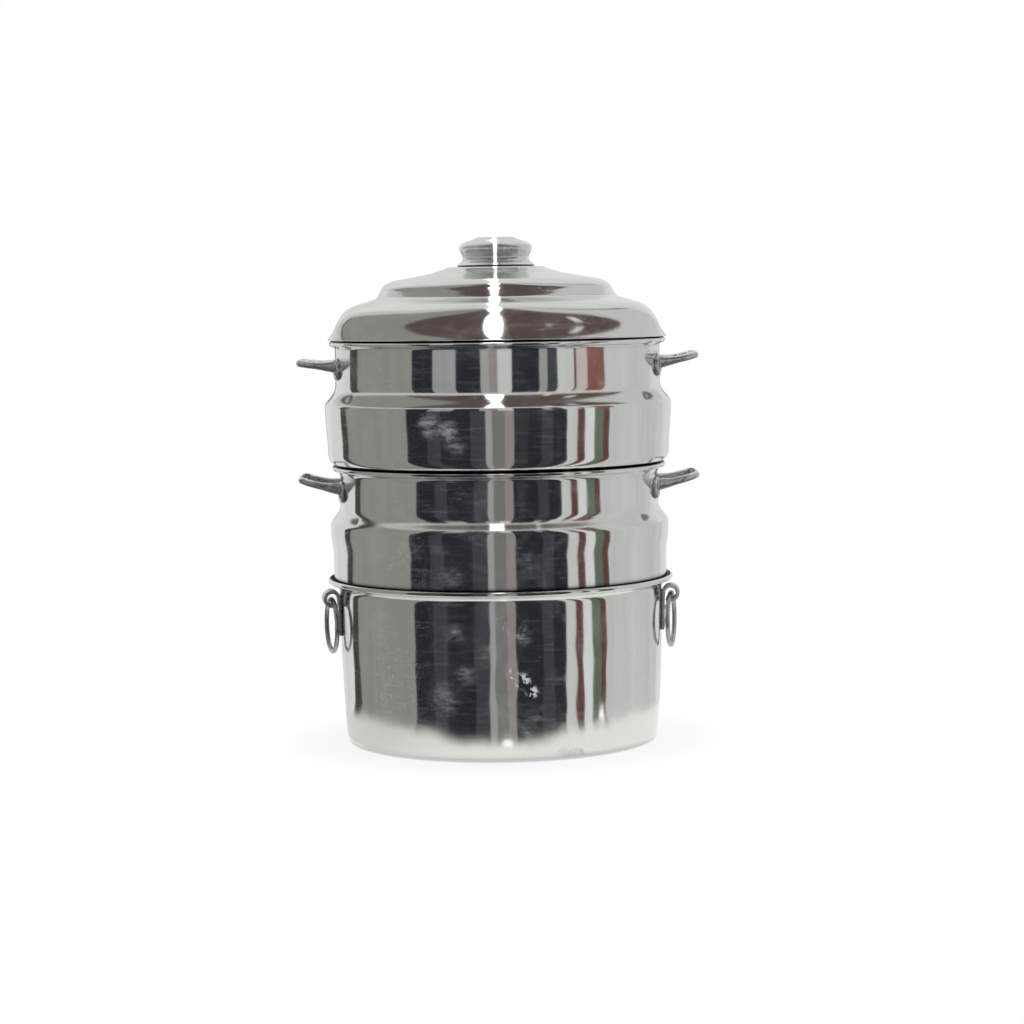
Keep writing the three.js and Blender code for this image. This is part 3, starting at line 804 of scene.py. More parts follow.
def polished_finish(skin, worn_places, marks, blur):
    """Spun aluminium, wheel-polished, with turning lines, haze, scratches, stains and painted shade
    in its seams.
    """
    finish, place = settings().finish, skin.place
    x, y, z = skin.split(place)
    radius = (x * x + y * y) ** 0.5
    east = x / (radius + 0.0001)
    north = y / (radius + 0.0001)

    def round_lines(fineness, drift, detail):
        """Fine lines round the Z axis, as a turning tool or a polishing wheel leaves them."""
        along = skin.vector((z + radius) * fineness, east * drift, north * drift)
        return skin.noise(along, 1.0, detail, 0.62)

    lines = round_lines(520.0, 1.6, 3.0)
    fine = round_lines(2600.0, 3.0, 2.0)
    swirl = round_lines(380.0, 5.0, 5.0).step(0.5, 0.75)
    broad = skin.noise(place, 9.0, 4.0, 0.55, 0.4)
    haze = skin.noise(place, 21.0, 5.0, 0.6, 1.2).step(0.46, 0.78) * broad.step(0.35, 0.6)
    dashes = skin.cells(skin.vector(x * 40.0, y * 40.0, z * 620.0), 1.0).step(0.16, 0.05)
    dashes = dashes * skin.noise(place, 16.0).step(0.5, 0.64)
    scratches = abs(skin.noise(place, 55.0, 3.0, 0.5, 2.4) - 0.5).step(0.006, 0.0015)
    scratches = scratches * skin.noise(place, 13.0).step(0.57, 0.66)
    worn = haze * 0.4
    mottle = skin.noise(skin.vector(x, y, z * 2.4), 80.0, 4.0, 0.65).step(0.3, 0.75)
    for middle, reach, strength in worn_places:
        patch = skin.away(place, middle).step(reach, reach * 0.1)
        worn = worn.most(patch * mottle * strength)
    scuffs = dashes * 0.35 + scratches * 0.4
    stains = skin.noise(place, 34.0, 5.0, 0.65, 0.8).step(0.62, 0.72) * 0.2
    if marks:
        chips = skin.noise(place, 210.0, 2.0, 0.5, 0.3).step(0.52, 0.58)
        for middle, reach in SCUFF_PLACES:
            scuffs = scuffs.most(skin.away(place, middle).step(reach, reach * 0.35) * chips)
        under = skin.away(place, STAIN_PLACE).step(STAIN_REACH, STAIN_REACH * 0.6)
        low = z.step(0.015, 0.009) * z.step(0.002, 0.005)
        blots = skin.noise(skin.vector(x, y, z * 1.6), 46.0, 5.0, 0.72, 0.4).step(0.46, 0.68)
        stains = stains.most(under * low * blots)
    scuffs = (scuffs * finish.scuffs).least(1.0)
    roughness = lines * finish.brushing + broad * 0.03 + finish.gloss
    roughness = roughness + worn.least(1.0) * finish.haze
    roughness = roughness + scuffs * 0.3 + stains * 0.1 + blur
    colour = skin.blend(scuffs * 0.7, finish.polished, (0.95, 0.95, 0.94))
    colour = skin.blend(stains * 0.55, colour, (0.47, 0.47, 0.455))
    colour = skin.shade(colour, fine * 0.06 + broad * 0.06 + 0.935 - blur * 0.5)
    # Painted shade: seams and corners turn near-black, less so within 12 mm of the floor
    painted_seam_shade = skin.crevices(11 * MM, 0.87, 0.52) * (z.step(0.001, 0.012) * 0.78 + 0.22)
    colour = skin.blend(painted_seam_shade, colour, (0.01, 0.01, 0.01))
    film = worn * finish.film + swirl * 0.06 + scuffs * 0.8 + blur * 1.8
    dents = skin.noise(place, 27.0, 1.0, 0.4)
    dimples = skin.noise(place, 62.0, 1.0, 0.4)
    height = lines * 0.004 + fine * 0.0008 + dents * 0.06 + dimples * 0.048 - scuffs * 0.012
    brushed = {"Anisotropic": 0.82, "Anisotropic_Rotation": 0.25}
    return skin.metal(colour, roughness.least(0.75), height, Metallic=1.0 - film, **brushed)


def cast_finish(skin):
    """Sand-cast aluminium, tumbled and rubbed bright on its edges, with painted shade in its
    hollows, seams and undersides and a painted highlight on its tops.
    """
    grain = skin.noise(skin.place, 1100.0, 4.0, 0.6)
    pits = skin.cells(skin.place, 620.0).step(0.22, 0.05)
    mottle = skin.noise(skin.place, 120.0, 4.0, 0.6, 0.5)
    point = skin.make("ShaderNodeNewGeometry", output="Pointiness")
    edge = point.step(0.5, 0.56)
    rub = edge * 0.7 + mottle.step(0.45, 0.7) * 0.3
    colour = skin.blend(rub, settings().finish.cast, (0.68, 0.685, 0.695))
    # Painted shade in the concave hollows
    colour = skin.blend(point.step(0.495, 0.44) * 0.6, colour, (0.2, 0.195, 0.19))
    # Painted highlight: faces that look up are lightened
    upward = skin.split(skin.make("ShaderNodeNewGeometry", output="Normal"))[2]
    colour = skin.blend(upward.step(0.25, 0.85) * 0.7, colour, (0.92, 0.925, 0.93))
    # Random tone, and painted shade: faces that look down are darkened
    colour = skin.shade(colour, mottle * 0.3 + 0.86 - upward.step(0.05, -0.7) * 0.6)
    # Painted shade in the seams and corners
    colour = skin.blend(skin.crevices(6 * MM), colour, (0.02, 0.02, 0.02))
    roughness = grain * 0.1 + mottle * 0.08 + 0.13 - edge * 0.05
    return skin.metal(colour, roughness, grain * 0.03 + mottle * 0.1 - pits * 0.04)


def wire_finish(skin):
    """Drawn wire, bent and welded: dark grey, with fine marks along it and dull patches."""
    x, y, z = skin.split(skin.place)
    streaks = skin.noise(skin.vector(x * 1500.0, y * 120.0, z * 120.0), 1.0, 3.0)
    dull = skin.noise(skin.place, 70.0, 3.0, 0.5, 0.4)
    colour = skin.blend(dull.step(0.4, 0.72), settings().finish.wire, (0.64, 0.645, 0.65))
    colour = skin.shade(colour, streaks * 0.3 + 0.82)
    return skin.metal(colour, streaks * 0.08 + dull * 0.12 + 0.13, streaks * 0.01 + dull * 0.05)


def strap_finish(skin):
    """Sheared strap, rolled cold: dull faces with rolling lines, a painted highlight on the top of
    the curled eye and painted shade in its seams.
    """
    x, y, z = skin.split(skin.place)
    lines = skin.noise(skin.vector(x * 90.0, y * 1400.0, z * 60.0), 1.0, 3.0)
    mottle = skin.noise(skin.place, 170.0, 4.0, 0.6)
    # Painted highlight: the top of the curled eye is lightened
    colour = skin.blend(z.step(0.133, 0.146) * 0.35, settings().finish.strap, (0.8, 0.8, 0.8))
    colour = skin.shade(colour, lines * 0.3 + mottle * 0.4 + 0.64)
    # Painted shade in the seams and corners
    colour = skin.blend(skin.crevices(1.5 * MM) * 0.5, colour, (0.05, 0.05, 0.05))
    roughness = lines * 0.08 + mottle * 0.1 + 0.19
    height = lines * 0.012 + mottle * 0.04
    return skin.metal(colour, roughness, height, Metallic=0.88 - mottle * 0.1)


def rivet_finish(skin):
    """Hammered rivets: bright, with the snap tool's dimples, dull grey patches and painted shade
    round the head.
    """
    dimples = skin.cells(skin.place, 900.0)
    mottle = skin.noise(skin.place, 420.0, 3.0, 0.6)
    dull = mottle.step(0.42, 0.7) * 0.6
    colour = skin.blend(dull, settings().finish.rivets, (0.3, 0.3, 0.29))
    # Painted shade in the seam round the head
    colour = skin.blend(skin.crevices(3 * MM), colour, (0.03, 0.03, 0.03))
    return skin.metal(colour, mottle * 0.2 + 0.17, dimples * 0.08 + mottle * 0.05)


def plated_finish(skin):
    """Zinc-plated steel: a faint spangle with a blue and a straw-coloured cast."""
    spangle = skin.cells(skin.place, 420.0)
    cloud = skin.noise(skin.place, 210.0, 4.0, 0.6)
    colour = skin.blend(cloud.step(0.35, 0.7), settings().finish.plated, (0.6, 0.57, 0.48))
    colour = skin.shade(colour, spangle * 0.22 + 0.86)
    roughness = cloud * 0.18 + spangle * 0.08 + 0.17
    return skin.metal(colour, roughness, cloud * 0.03 + spangle * 0.02)


# Meshes

def linked(name, data):
    """A new object with that data, linked to the scene."""
    made = bpy.data.objects.new(name, data)
    bpy.context.collection.objects.link(made)
    return made


def new_piece(name, vertices, faces):
    """A smooth piece from its vertices and faces, with its faces turned outwards."""
    mesh = bpy.data.meshes.new(name)
    mesh.from_pydata(vertices, [], faces)
    piece = linked(name, mesh)
    reshape(piece, lambda shape: bmesh.ops.recalc_face_normals(shape, faces=shape.faces))
    return smoothed(piece)


def reshape(piece, change):
    """Runs a change on the piece's mesh in edit form."""
    shape = bmesh.new()
    shape.from_mesh(piece.data)
    change(shape)
    shape.to_mesh(piece.data)
    shape.free()


def smoothed(piece, sharper_than=38.0):
    """Shades a piece smooth, but for its sharp edges."""
    piece.data.shade_smooth()
    piece.data.set_sharp_from_angle(angle=math.radians(sharper_than))
    return piece


def angles(steps):
    """The angles of that many even steps round a circle."""
    return [2 * math.pi * i / steps for i in range(steps)]


def bands(rings):
    """The faces between each ring of vertex numbers and the next."""
    faces = []
    for low, high in zip(rings, rings[1:]):
        for i in range(len(low)):
            j = (i + 1) % len(low)
            faces.append(tuple(dict.fromkeys((low[i], low[j], high[j], high[i]))))
    return faces


def turned(name, outline, seat=0.0, segments=None, stray=None):
    """A closed piece turned from its outline round the Z axis."""
    segments = segments or settings().sheet.segments
    vertices = []
    rings = []
    for point in outline:
        first = len(vertices)
        if point.x < 1e-6:
            vertices.append((0.0, 0.0, point.y + seat))
            rings.append([first] * segments)
            continue
        for angle in angles(segments):
            shift, lift = stray(angle, point) if stray else (0.0, 0.0)
            radius = point.x + shift
            height = point.y + seat + lift
            vertices.append((radius * math.cos(angle), radius * math.sin(angle), height))
        rings.append(list(range(first, first + segments)))
    closing = rings[:1] if rings[0][0] != rings[0][1] else []
    return new_piece(name, vertices, bands(rings + closing))


def lofted(name, *shells):
    """A closed piece. Each shell runs through rows of places, with a flat face at either end."""
    vertices = []
    faces = []
    for rows in shells:
        rings = []
        for row in rows:
            rings.append(range(len(vertices), len(vertices) + len(row)))
            vertices += row
        faces += [tuple(rings[0]), tuple(rings[-1])] + bands(rings)
    return new_piece(name, vertices, faces)


# Within this radius a spun sheet strays less, and over this height it has no dents
STRAY_RADIUS = 60 * MM
DENTS_TOP = 136 * MM
DENTS_FADE = 20 * MM


def hand_spun(seed, slope=0.0, dents=0.0):
    """How far a spun sheet strays from round at an angle and a point of its outline."""
    sheet = settings().sheet

    def stray(angle, point):
        east, north = math.cos(angle), math.sin(angle)
        broad = noise.noise(Vector((east * 1.7, north * 1.7, point.y * 14 + seed)))
        tooled = noise.noise(Vector((east * 0.4 + seed, north * 0.4, (point.y + point.x) * 190)))
        dented = noise.noise(Vector((east * 9 + seed, north * 9, point.y * 38)))
        dented = dented * ease((DENTS_TOP - point.y) / DENTS_FADE)
        shift = broad * sheet.wobble + tooled * sheet.ripple + dented * dents
        shift = shift * ease(point.x / STRAY_RADIUS)
        return shift, shift * slope

    return stray


def plain_mesh(piece):
    """Turns what the piece's modifiers make into its own mesh."""
    depsgraph = bpy.context.evaluated_depsgraph_get()
    made = bpy.data.meshes.new_from_object(piece.evaluated_get(depsgraph))
    made.name = piece.name
    old = piece.data
    piece.modifiers.clear()
    piece.data = made
    bpy.data.meshes.remove(old)
    return piece


def modified(piece, kind, **fields):
    """Gives a piece a modifier with those fields."""
    modifier = piece.modifiers.new(kind.capitalize(), kind)
    for name, value in fields.items():
        setattr(modifier, name, value)
    return piece


def finished(piece, finish, body, slot, *nodes):
    """Gives a piece its finish and its place in the stack."""
    piece.data.materials.clear()
    piece.data.materials.append(finish)
    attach(piece, body)
    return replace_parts(piece, *nodes)


# Geometry node trees

class Recipe(Nodes):
    """A geometry node tree with named inputs, which ends in plain geometry and a material."""

    def __init__(self, name):
        super().__init__(bpy.data.node_groups.new(name, "GeometryNodeTree"))
        self.sockets = {}
        self.entry = self.tree.nodes.new("NodeGroupInput")
        self.geometry = self.taken("Geometry", "Geometry")[0]

    def socket(self, name, way, kind):
        """Adds a named socket of a kind to the tree and gives its identifier."""
        kind = f"NodeSocket{kind}"
        return self.tree.interface.new_socket(name=name, in_out=way, socket_type=kind).identifier

    def taken(self, kind, *names):
        """Adds named inputs of a kind and gives their values."""
        for name in names:
            self.sockets[name] = self.socket(name, "INPUT", kind)
        return [Value(self, self.entry.outputs[name]) for name in names]

    def end(self, geometry, finish):
        """Ends the tree in Realize Instances and Set Material."""
        self.socket("Geometry", "OUTPUT", "Geometry")
        real = self.make("GeometryNodeRealizeInstances", geometry)
        self.make("NodeGroupOutput", self.make("GeometryNodeSetMaterial", real, Material=finish))
        return self

    def run(self, piece, group, **more):
        """Runs the tree on a piece, with a group's sizes and more, and keeps the plain mesh."""
        modifier = piece.modifiers.new(self.tree.name, "NODES")
        modifier.node_group = self.tree
        for name, identifier in list(self.sockets.items())[1:]:
            field = name.lower().replace(" ", "_")
            modifier[identifier] = more[field] if field in more else getattr(group, field)
        return plain_mesh(piece)


def perforation_recipe(finish):
    """Drills rings of steam holes about a middle one."""
    recipe = Recipe("perforations")
    sizes = recipe.taken("Float", "Hole radius", "Hole pitch", "Depth", "Floor height")
    hole_radius, pitch, depth, height = sizes
    ring_count, per_ring = recipe.taken("Int", "Hole rings", "Holes per ring")
    first = recipe.tree.nodes.new("GeometryNodeRepeatInput")
    last = recipe.tree.nodes.new("GeometryNodeRepeatOutput")
    first.pair_with_output(last)
    recipe.feed(first.inputs["Iterations"], ring_count)
    recipe.feed(first.inputs["Geometry"], recipe.make("GeometryNodeMeshLine", Count=1))
    nth = Value(recipe, first.outputs["Iteration"]) + 1.0
    ring = recipe.make("GeometryNodeMeshCircle", nth * per_ring, nth * pitch)
    so_far = Value(recipe, first.outputs["Geometry"])
    recipe.feed(last.inputs["Geometry"], recipe.make("GeometryNodeJoinGeometry", [so_far, ring]))
    places = Value(recipe, last.outputs["Geometry"])
    drill = recipe.make("GeometryNodeMeshCylinder", 28, Radius=hole_radius, Depth=depth)
    lifted = recipe.make("GeometryNodeSetPosition", places, Offset=recipe.vector(z=height))
    drills = recipe.make("GeometryNodeInstanceOnPoints", lifted, Instance=drill)
    drills = recipe.make("GeometryNodeRealizeInstances", drills)
    options = {"operation": "DIFFERENCE", "solver": "EXACT"}
    cut_open = recipe.make("GeometryNodeMeshBoolean", recipe.geometry, Mesh_2=drills, **options)
    return recipe.end(cut_open, finish)


def rivet_recipe(finish):
    """Sets a rivet on every point, its head facing along the point's Facing attribute."""
    recipe = Recipe("rivets")
    names = ("Shank radius", "Head radius", "Head height", "Tail radius", "Tail height", "Grip")
    sizes = recipe.taken("Float", *names)
    shank_radius, head_radius, head_height, tail_radius, tail_height, grip = sizes
    (seed,) = recipe.taken("Int", "Seed")

    def moved(shape, **change):
        return recipe.make("GeometryNodeTransform", shape, **change)

    ball = recipe.make("GeometryNodeMeshUVSphere", 20, 12, head_radius)
    height = recipe.split(recipe.make("GeometryNodeInputPosition"))[2]
    low = recipe.make("FunctionNodeCompare", height, -1e-6, operation="LESS_THAN")
    upper = recipe.make("GeometryNodeDeleteGeometry", ball, low)
    squat = moved(upper, Scale=recipe.vector(1.0, 1.0, head_height / head_radius))
    head = recipe.make("GeometryNodeConvexHull", squat)
    long = grip + tail_height * 0.5
    shank = recipe.make("GeometryNodeMeshCylinder", 16, Radius=shank_radius, Depth=long)
    shank = moved(shank, Translation=recipe.vector(z=long * -0.5))
    ends = {"Radius_Top": tail_radius, "Radius_Bottom": tail_radius * 0.72}
    tail = recipe.make("GeometryNodeMeshCone", 20, Depth=tail_height, **ends)
    tail = moved(tail, Translation=recipe.vector(z=(grip + tail_height) * -1.0))
    rivet = recipe.make("GeometryNodeJoinGeometry", [head, shank, tail])
    facing = recipe.make("GeometryNodeInputNamedAttribute", "Facing", data_type="FLOAT_VECTOR")
    aim = recipe.make("FunctionNodeAlignRotationToVector", Vector=facing, axis="Z")
    span = {"Min_001": 0.96, "Max_001": 1.0, "Seed": seed}
    size = recipe.make("FunctionNodeRandomValue", data_type="FLOAT", output=1, **span)
    fit = {"Instance": rivet, "Rotation": aim, "Scale": recipe.vector(size, size, 1.0)}
    return recipe.end(recipe.make("GeometryNodeInstanceOnPoints", recipe.geometry, **fit), finish)


def build_rivets(name, places, grip, seed, body):
    """Rivets by node, on places that give the point under the head and the way it faces."""
    mesh = bpy.data.meshes.new(name)
    mesh.from_pydata([place for place, _ in places.values()], [], [])
    facing = mesh.attributes.new("Facing", "FLOAT_VECTOR", "POINT")
    for i, (_, way) in enumerate(places.values()):
        facing.data[i].vector = way
    finish = material("hammered_rivets", rivet_finish)
    piece = linked(name, mesh)
    rivet_recipe(finish).run(piece, settings().rivet, grip=grip, seed=seed)
    finished(smoothed(piece, 42.0), finish, body, "rivet_aluminium", *places)


# Pieces

SIDES = {"right": 0.0, "left": math.pi}
UP = Vector((0, 0, 1))


def spin(angle):
    """A turn about the Z axis."""
    return Matrix.Rotation(angle, 4, "Z")


def about_z(angle, *place):
    """A place turned about the Z axis."""
    return spin(angle) @ Vector(place)


def polished(name="polished_sheet", worn_places=(), marks=False, blur=0.0):
    """The finish of a spun piece."""
    return material(name, polished_finish, worn_places, marks, blur)


def build_pot():
    """The pot's shell, with its flared and rolled rim."""
    spun = hand_spun(3.1, dents=settings().sheet.dents)
    piece = turned("pot_shell", vessel_outline(pot_outside(), pot_rim()), stray=spun)
    finish = polished("polished_pot", POT_PLACES, True)
    finished(piece, finish, "pot", "spun_aluminium", "pot_body")


def build_tier(tier, seed):
    """A tier's shell, drilled with its steam holes."""
    outline = vessel_outline(tier_outside(tier), tier.rim)
    piece = turned(f"{tier.name}_shell", outline, tier.seat, stray=hand_spun(seed))
    finish = polished("polished_tiers", TIER_PLACES)
    floor = settings().floor
    bottom = tier.seat - floor.spigot_depth
    recipe = perforation_recipe(finish)
    smoothed(recipe.run(piece, floor, depth=4 * floor.spigot_depth, floor_height=bottom))
    finished(piece, finish, tier.body, "spun_aluminium", f"{tier.body}_body")


# How far the bar pulls in beside its corners, and how far it sags between its ends
BAR_PINCH = 1.2 * MM
BAR_SAG = 1.4 * MM


def loop_path(tier, bent):
    """The middle line of a handle's bar, from one foot round to the other."""
    sizes = settings().handle
    spread, curve = sizes.foot_spread, sizes.bend_radius
    root = math.sqrt(tier.neck ** 2 - spread ** 2) - sizes.bar_radius
    bar = tier.neck + tier.sizes.handle_reach - sizes.bar_radius
    half = [at(root, spread)] + arc(bar - curve, spread - curve, curve, 90, 0, 14)
    start = tier.pads + sizes.root_lift
    path = []
    for point in refined(half + [at(p.x, -p.y) for p in half[::-1]], 1.8 * MM):
        out = (point.x - root) / (bar - root)
        pinch = BAR_PINCH * (point.y / spread) ** 2 * out
        sag = BAR_SAG * math.sin(math.pi * min(out, 1.0))
        height = start + tier.sizes.handle_rise * out - sag - sizes.droop * (1 - out)
        path.append(Vector((point.x - pinch, point.y, height - bent * out * out)))
    return path


def bar_rows(path):
    """The bar's outlines along its path: full at its roots, flatter outside."""
    radius = settings().handle.bar_radius
    last = len(path) - 1
    rows = []
    for i, centre in enumerate(path):
        along = path[min(i + 1, last)] - path[max(i - 1, 0)]
        side = along.cross(UP).normalized()
        up = side.cross(along).normalized()
        near = min(i / last, 1 - i / last)
        root, gusset = 1 - ease(near / 0.16), 1 - ease(near / 0.2)
        wide = radius * (0.96 + 0.29 * root)
        tall = radius * (0.9 + 0.35 * root + 0.42 * gusset)
        ways = [(wide * math.cos(a), tall * math.sin(a)) for a in angles(24)]
        rows.append([centre + side * across + up * climb for across, climb in ways])
    return rows


# A pad's outlines: how far each stands out, in pad thicknesses, and how full it is
PAD_OUTLINES = ((0.55, 1.0), (0.85, 0.96), (1.05, 0.88), (1.16, 0.74))
PAD_CROWN = PAD_OUTLINES[-1][0]


def pad_rows(tier, way):
    """The outlines of one foot's plate, leaning outwards on the neck."""
    sizes = settings().handle
    azimuth = way * tier.foot
    side = about_z(azimuth, 0, 1, 0)
    lean = -way * sizes.pad_slant
    rows = []
    steps = [(sizes.pad_thickness * out, fill) for out, fill in PAD_OUTLINES]
    for out, fill in [(-2.0 * MM, 1.0)] + steps:
        centre = about_z(azimuth, tier.neck + out, 0, tier.pads)
        row = []
        for angle in angles(40):
            long = fill * sizes.pad_length * math.cos(angle)
            wide = fill * sizes.pad_width * math.sin(angle) * (1 - 0.12 * math.cos(2 * angle))
            across = long * math.cos(lean) - wide * math.sin(lean)
            row.append(centre + side * across + UP * (long * math.sin(lean) + wide * math.cos(lean)))
        rows.append(row)
    return rows


# Height of a casting's lumps
CAST_LUMPS = 0.16 * MM


def blended_casting(piece, clear_radius):
    """Blends a casting's parts into one skin, and fits its back to the neck."""
    modified(piece, "REMESH", mode="VOXEL", voxel_size=settings().handle.grain)
    plain_mesh(modified(piece, "SMOOTH", factor=0.5, iterations=9))

    def fit(shape):
        for vertex in shape.verts:
            radius = math.hypot(vertex.co.x, vertex.co.y)
            if radius < clear_radius:
                grow = clear_radius / radius
                vertex.co.x *= grow
                vertex.co.y *= grow
            lump = noise.noise(vertex.co * 190) * CAST_LUMPS
            vertex.co += vertex.normal * (lump if radius > clear_radius else 0.0)

    reshape(piece, fit)
    piece.data.shade_smooth()
    return piece


def build_handles(tier):
    """The two cast loop handles of a tier."""
    finish = material("tumbled_casting", cast_finish)
    for side, azimuth in SIDES.items():
        name = f"{tier.name}_handle_{side}"
        path = loop_path(tier, settings().handle.bent if name == "upper_handle_left" else 0.0)
        shells = (bar_rows(path), pad_rows(tier, -1), pad_rows(tier, 1))
        casting = blended_casting(lofted(f"{name}_casting", *shells), tier.neck + BACK_GAP)
        casting.data.transform(spin(azimuth))
        finished(casting, finish, tier.body, "cast_aluminium", name)


def build_tier_rivets(tier, seed):
    """The eight rivets of a tier's handles."""
    sizes = settings().handle
    depth = sizes.pad_thickness * PAD_CROWN
    rows = (
        ("outer", sizes.rivet_spread, -sizes.outer_rivet_drop),
        ("inner", -sizes.rivet_spread, sizes.inner_rivet_lift),
    )
    places = {}
    for side, middle in SIDES.items():
        for foot, way in (("front", -1), ("back", 1)):
            azimuth = middle + way * tier.foot
            for row, spread, lift in rows:
                place = about_z(azimuth, tier.neck + depth, way * spread, tier.pads + lift)
                facing = about_z(azimuth, 1, 0, 0)
                places[f"{tier.name}_rivet_{side}_{foot}_{row}"] = (place, facing)
    grip = depth + settings().sheet.thickness
    build_rivets(f"{tier.name}_rivets", places, grip, seed, tier.body)


def lug_azimuths():
    """Where the two lugs sit round the pot."""
    return {side: getattr(settings().ring, f"{side}_azimuth") for side in SIDES}


def eye_place():
    """Radius and height of the middle of a lug's eye."""
    sizes = settings().ring
    radius = settings().pot.neck_radius + SEAT_GAP + sizes.eye_radius
    return radius, pot_neck_top() - sizes.eye_drop


# The slanted end of a lug's tail
TAIL_SLOPE = 2.5 * MM
TAIL_BLUNTING = 0.8 * MM
# How far the eye's curl starts over the strap's back, and the longest stretch of the strap
CURL_DROP = 0.2 * MM
STRAP_STEP = 2.2 * MM


def lug_outline():
    """The curled strap seen from its side, about the middle of its eye."""
    sizes = settings().ring
    eye, bore, bottom = sizes.eye_radius, sizes.eye_bore, -sizes.tail_length
    front = -eye + sizes.plate_thickness
    curl_end = -126
    line = [at(-eye, bottom), at(-eye, -CURL_DROP)] + arc(0, 0, eye, 180, curl_end, 44)
    line += arc(0, 0, 0.5 * (eye + bore), curl_end - 5, curl_end - 5, 1)[:1]
    line += arc(0, 0, bore, curl_end, 176, 40)
    line += [at(front, -bore), at(front, bottom + TAIL_SLOPE), at(front - TAIL_BLUNTING, bottom)]
    return spaced(refined(line, STRAP_STEP))


# A strap's back: how deep it counts as back, and how far it may bend to the round wall
BACK_DEPTH = 0.55 * MM
BACK_BEND = 0.6 * MM
STRAP_EDGE = 0.45 * MM


def build_lugs():
    """The two strap lugs, each curled into an eye."""
    sizes = settings().ring
    radius, height = eye_place()
    steps = 10
    for side, azimuth in lug_azimuths().items():
        rows = []
        for across in (sizes.width * (i / steps - 0.5) for i in range(steps + 1)):
            row = []
            for point in lug_outline():
                local = Vector((radius + point.x, across, height + point.y))
                if point.x < BACK_DEPTH - sizes.eye_radius:
                    wall = pot_wall_radius(local.z) + BACK_GAP
                    local.x = max(math.sqrt(wall ** 2 - across ** 2), local.x - BACK_BEND)
                row.append(about_z(azimuth, *local))
            rows.append(row)
        piece = lofted(f"lug_strap_{side}", rows)
        modified(piece, "BEVEL", width=STRAP_EDGE, segments=3, angle_limit=math.radians(50))
        finish = material("rolled_strap", strap_finish)
        piece = smoothed(plain_mesh(piece), 50.0)
        finished(piece, finish, "pot", "strap_aluminium", f"pot_lug_{side}")


# The ring's weld: where it sits round the ring, its reach in radians and its height
WELD_ANGLE = 2.45
WELD_REACH = 0.055
WELD_HEIGHT = 0.3 * MM
WIRE_DENTS = 0.05 * MM


def build_rings():
    """The two ring handles, bent from wire and welded."""
    sizes = settings().ring
    middle = at(sizes.ring_radius, 0)
    outline = arc(sizes.ring_radius, 0, sizes.wire_radius * 0.985, 0, 345, 23)

    def welded(angle, point):
        """The swelling at the weld, and the wire's small dents."""
        way = (point - middle).normalized()
        near = math.exp(-(((angle - WELD_ANGLE) / WELD_REACH) ** 2))
        dents = noise.noise(Vector((math.cos(angle) * 5, math.sin(angle) * 5, way.y)))
        swell = near * WELD_HEIGHT * (1 + dents) + dents * WIRE_DENTS
        return way.x * swell, way.y * swell

    twists = {"right": -sizes.twist, "left": sizes.twist}
    for side, azimuth in lug_azimuths().items():
        node = f"pot_ring_{side}"
        low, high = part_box(node)
        piece = turned(f"ring_handle_{side}", outline, 0.0, 144, welded)
        upright = spin(twists[side]) @ Matrix.Rotation(math.pi / 2, 4, "Y")
        hung = Matrix.Translation((eye_place()[0], 0, (low.z + high.z) / 2)) @ upright
        piece.data.transform(spin(azimuth) @ hung)
        finished(piece, material("drawn_wire", wire_finish), f"ring_{side}", "steel_wire", node)


def build_lug_rivets():
    """The four rivets that hold the lugs."""
    sizes = settings().ring
    out = settings().pot.neck_radius + SEAT_GAP + sizes.plate_thickness
    places = {}
    for side, azimuth in lug_azimuths().items():
        for i, row in enumerate(("upper", "lower")):
            height = eye_place()[1] - sizes.first_rivet - i * sizes.rivet_pitch
            place = about_z(azimuth, out, 0, height)
            places[f"lug_rivet_{side}_{row}"] = (place, about_z(azimuth, 1, 0, 0))
    grip = sizes.plate_thickness + settings().sheet.thickness + 1.5 * SEAT_GAP
    build_rivets("lug_rivets", places, grip, 5, "pot")


def build_lid():
    """The stepped lid, with its collar."""
    piece = turned("lid_cover", lid_outline(), lid_seat(), stray=hand_spun(11.7, 0.5))
    finished(piece, polished(), "lid", "spun_aluminium", "lid_shell")


def knob_seat():
    """Height of the top of the lid, which the knob stands on."""
    return lid_seat() + lid_corners().top.y


def build_knob():
    """The hollow spun knob with its dished top."""
    piece = turned("knob_cup", knob_outline(), knob_seat() + SEAT_GAP, 160)
    finished(piece, polished("polished_knob", blur=0.07), "lid", "spun_aluminium", "lid_knob")


def cut(piece, tool, operation="DIFFERENCE"):
    """Cuts a piece with a tool, which is used up."""
    plain_mesh(modified(piece, "BOOLEAN", operation=operation, object=tool))
    bpy.data.objects.remove(tool)
    return piece


def prism(name, plan, low, high):
    """An upright prism over a plan, as a tool for cutting."""
    return lofted(name, [[(x, y, height) for x, y in plan] for height in (low, high)])


def build_fasteners():
    """The screw, washer and nut that hold the knob."""
    sizes = settings().knob
    washer_top = knob_seat() - settings().sheet.thickness - SEAT_GAP * 0.3
    nut_top = washer_top - sizes.washer_thickness
    nut_bottom = nut_top - sizes.nut_thickness
    dish = knob_seat() + SEAT_GAP + sizes.height * KNOB_SHARES[-1][1]
    parts = {
        "knob_screw": screw_piece(nut_bottom - sizes.tip_length, dish),
        "knob_washer": turned("washer", washer_outline(nut_top, washer_top), 0.0, 64),
        "knob_nut": nut_piece(nut_bottom, nut_top),
    }
    finish = material("zinc_plate", plated_finish)
    for node, piece in parts.items():
        piece.name = piece.data.name = f"plated_{node}"
        finished(smoothed(piece, 30.0), finish, "lid", "plated_steel", node)


# The screw's thread: its length, its chamfer, and each turn's points as shares of radius and pitch
THREAD_LENGTH = 14 * MM
THREAD_CHAMFER = 0.4 * MM
THREAD_POINTS = ((0.84, 0.15), (1.0, 0.5), (1.0, 0.6))
# The screw head's edge, and how far its dome comes down
HEAD_EDGE = 0.25 * MM
HEAD_DOME = 1.1 * MM
SLOT_TURN = 24


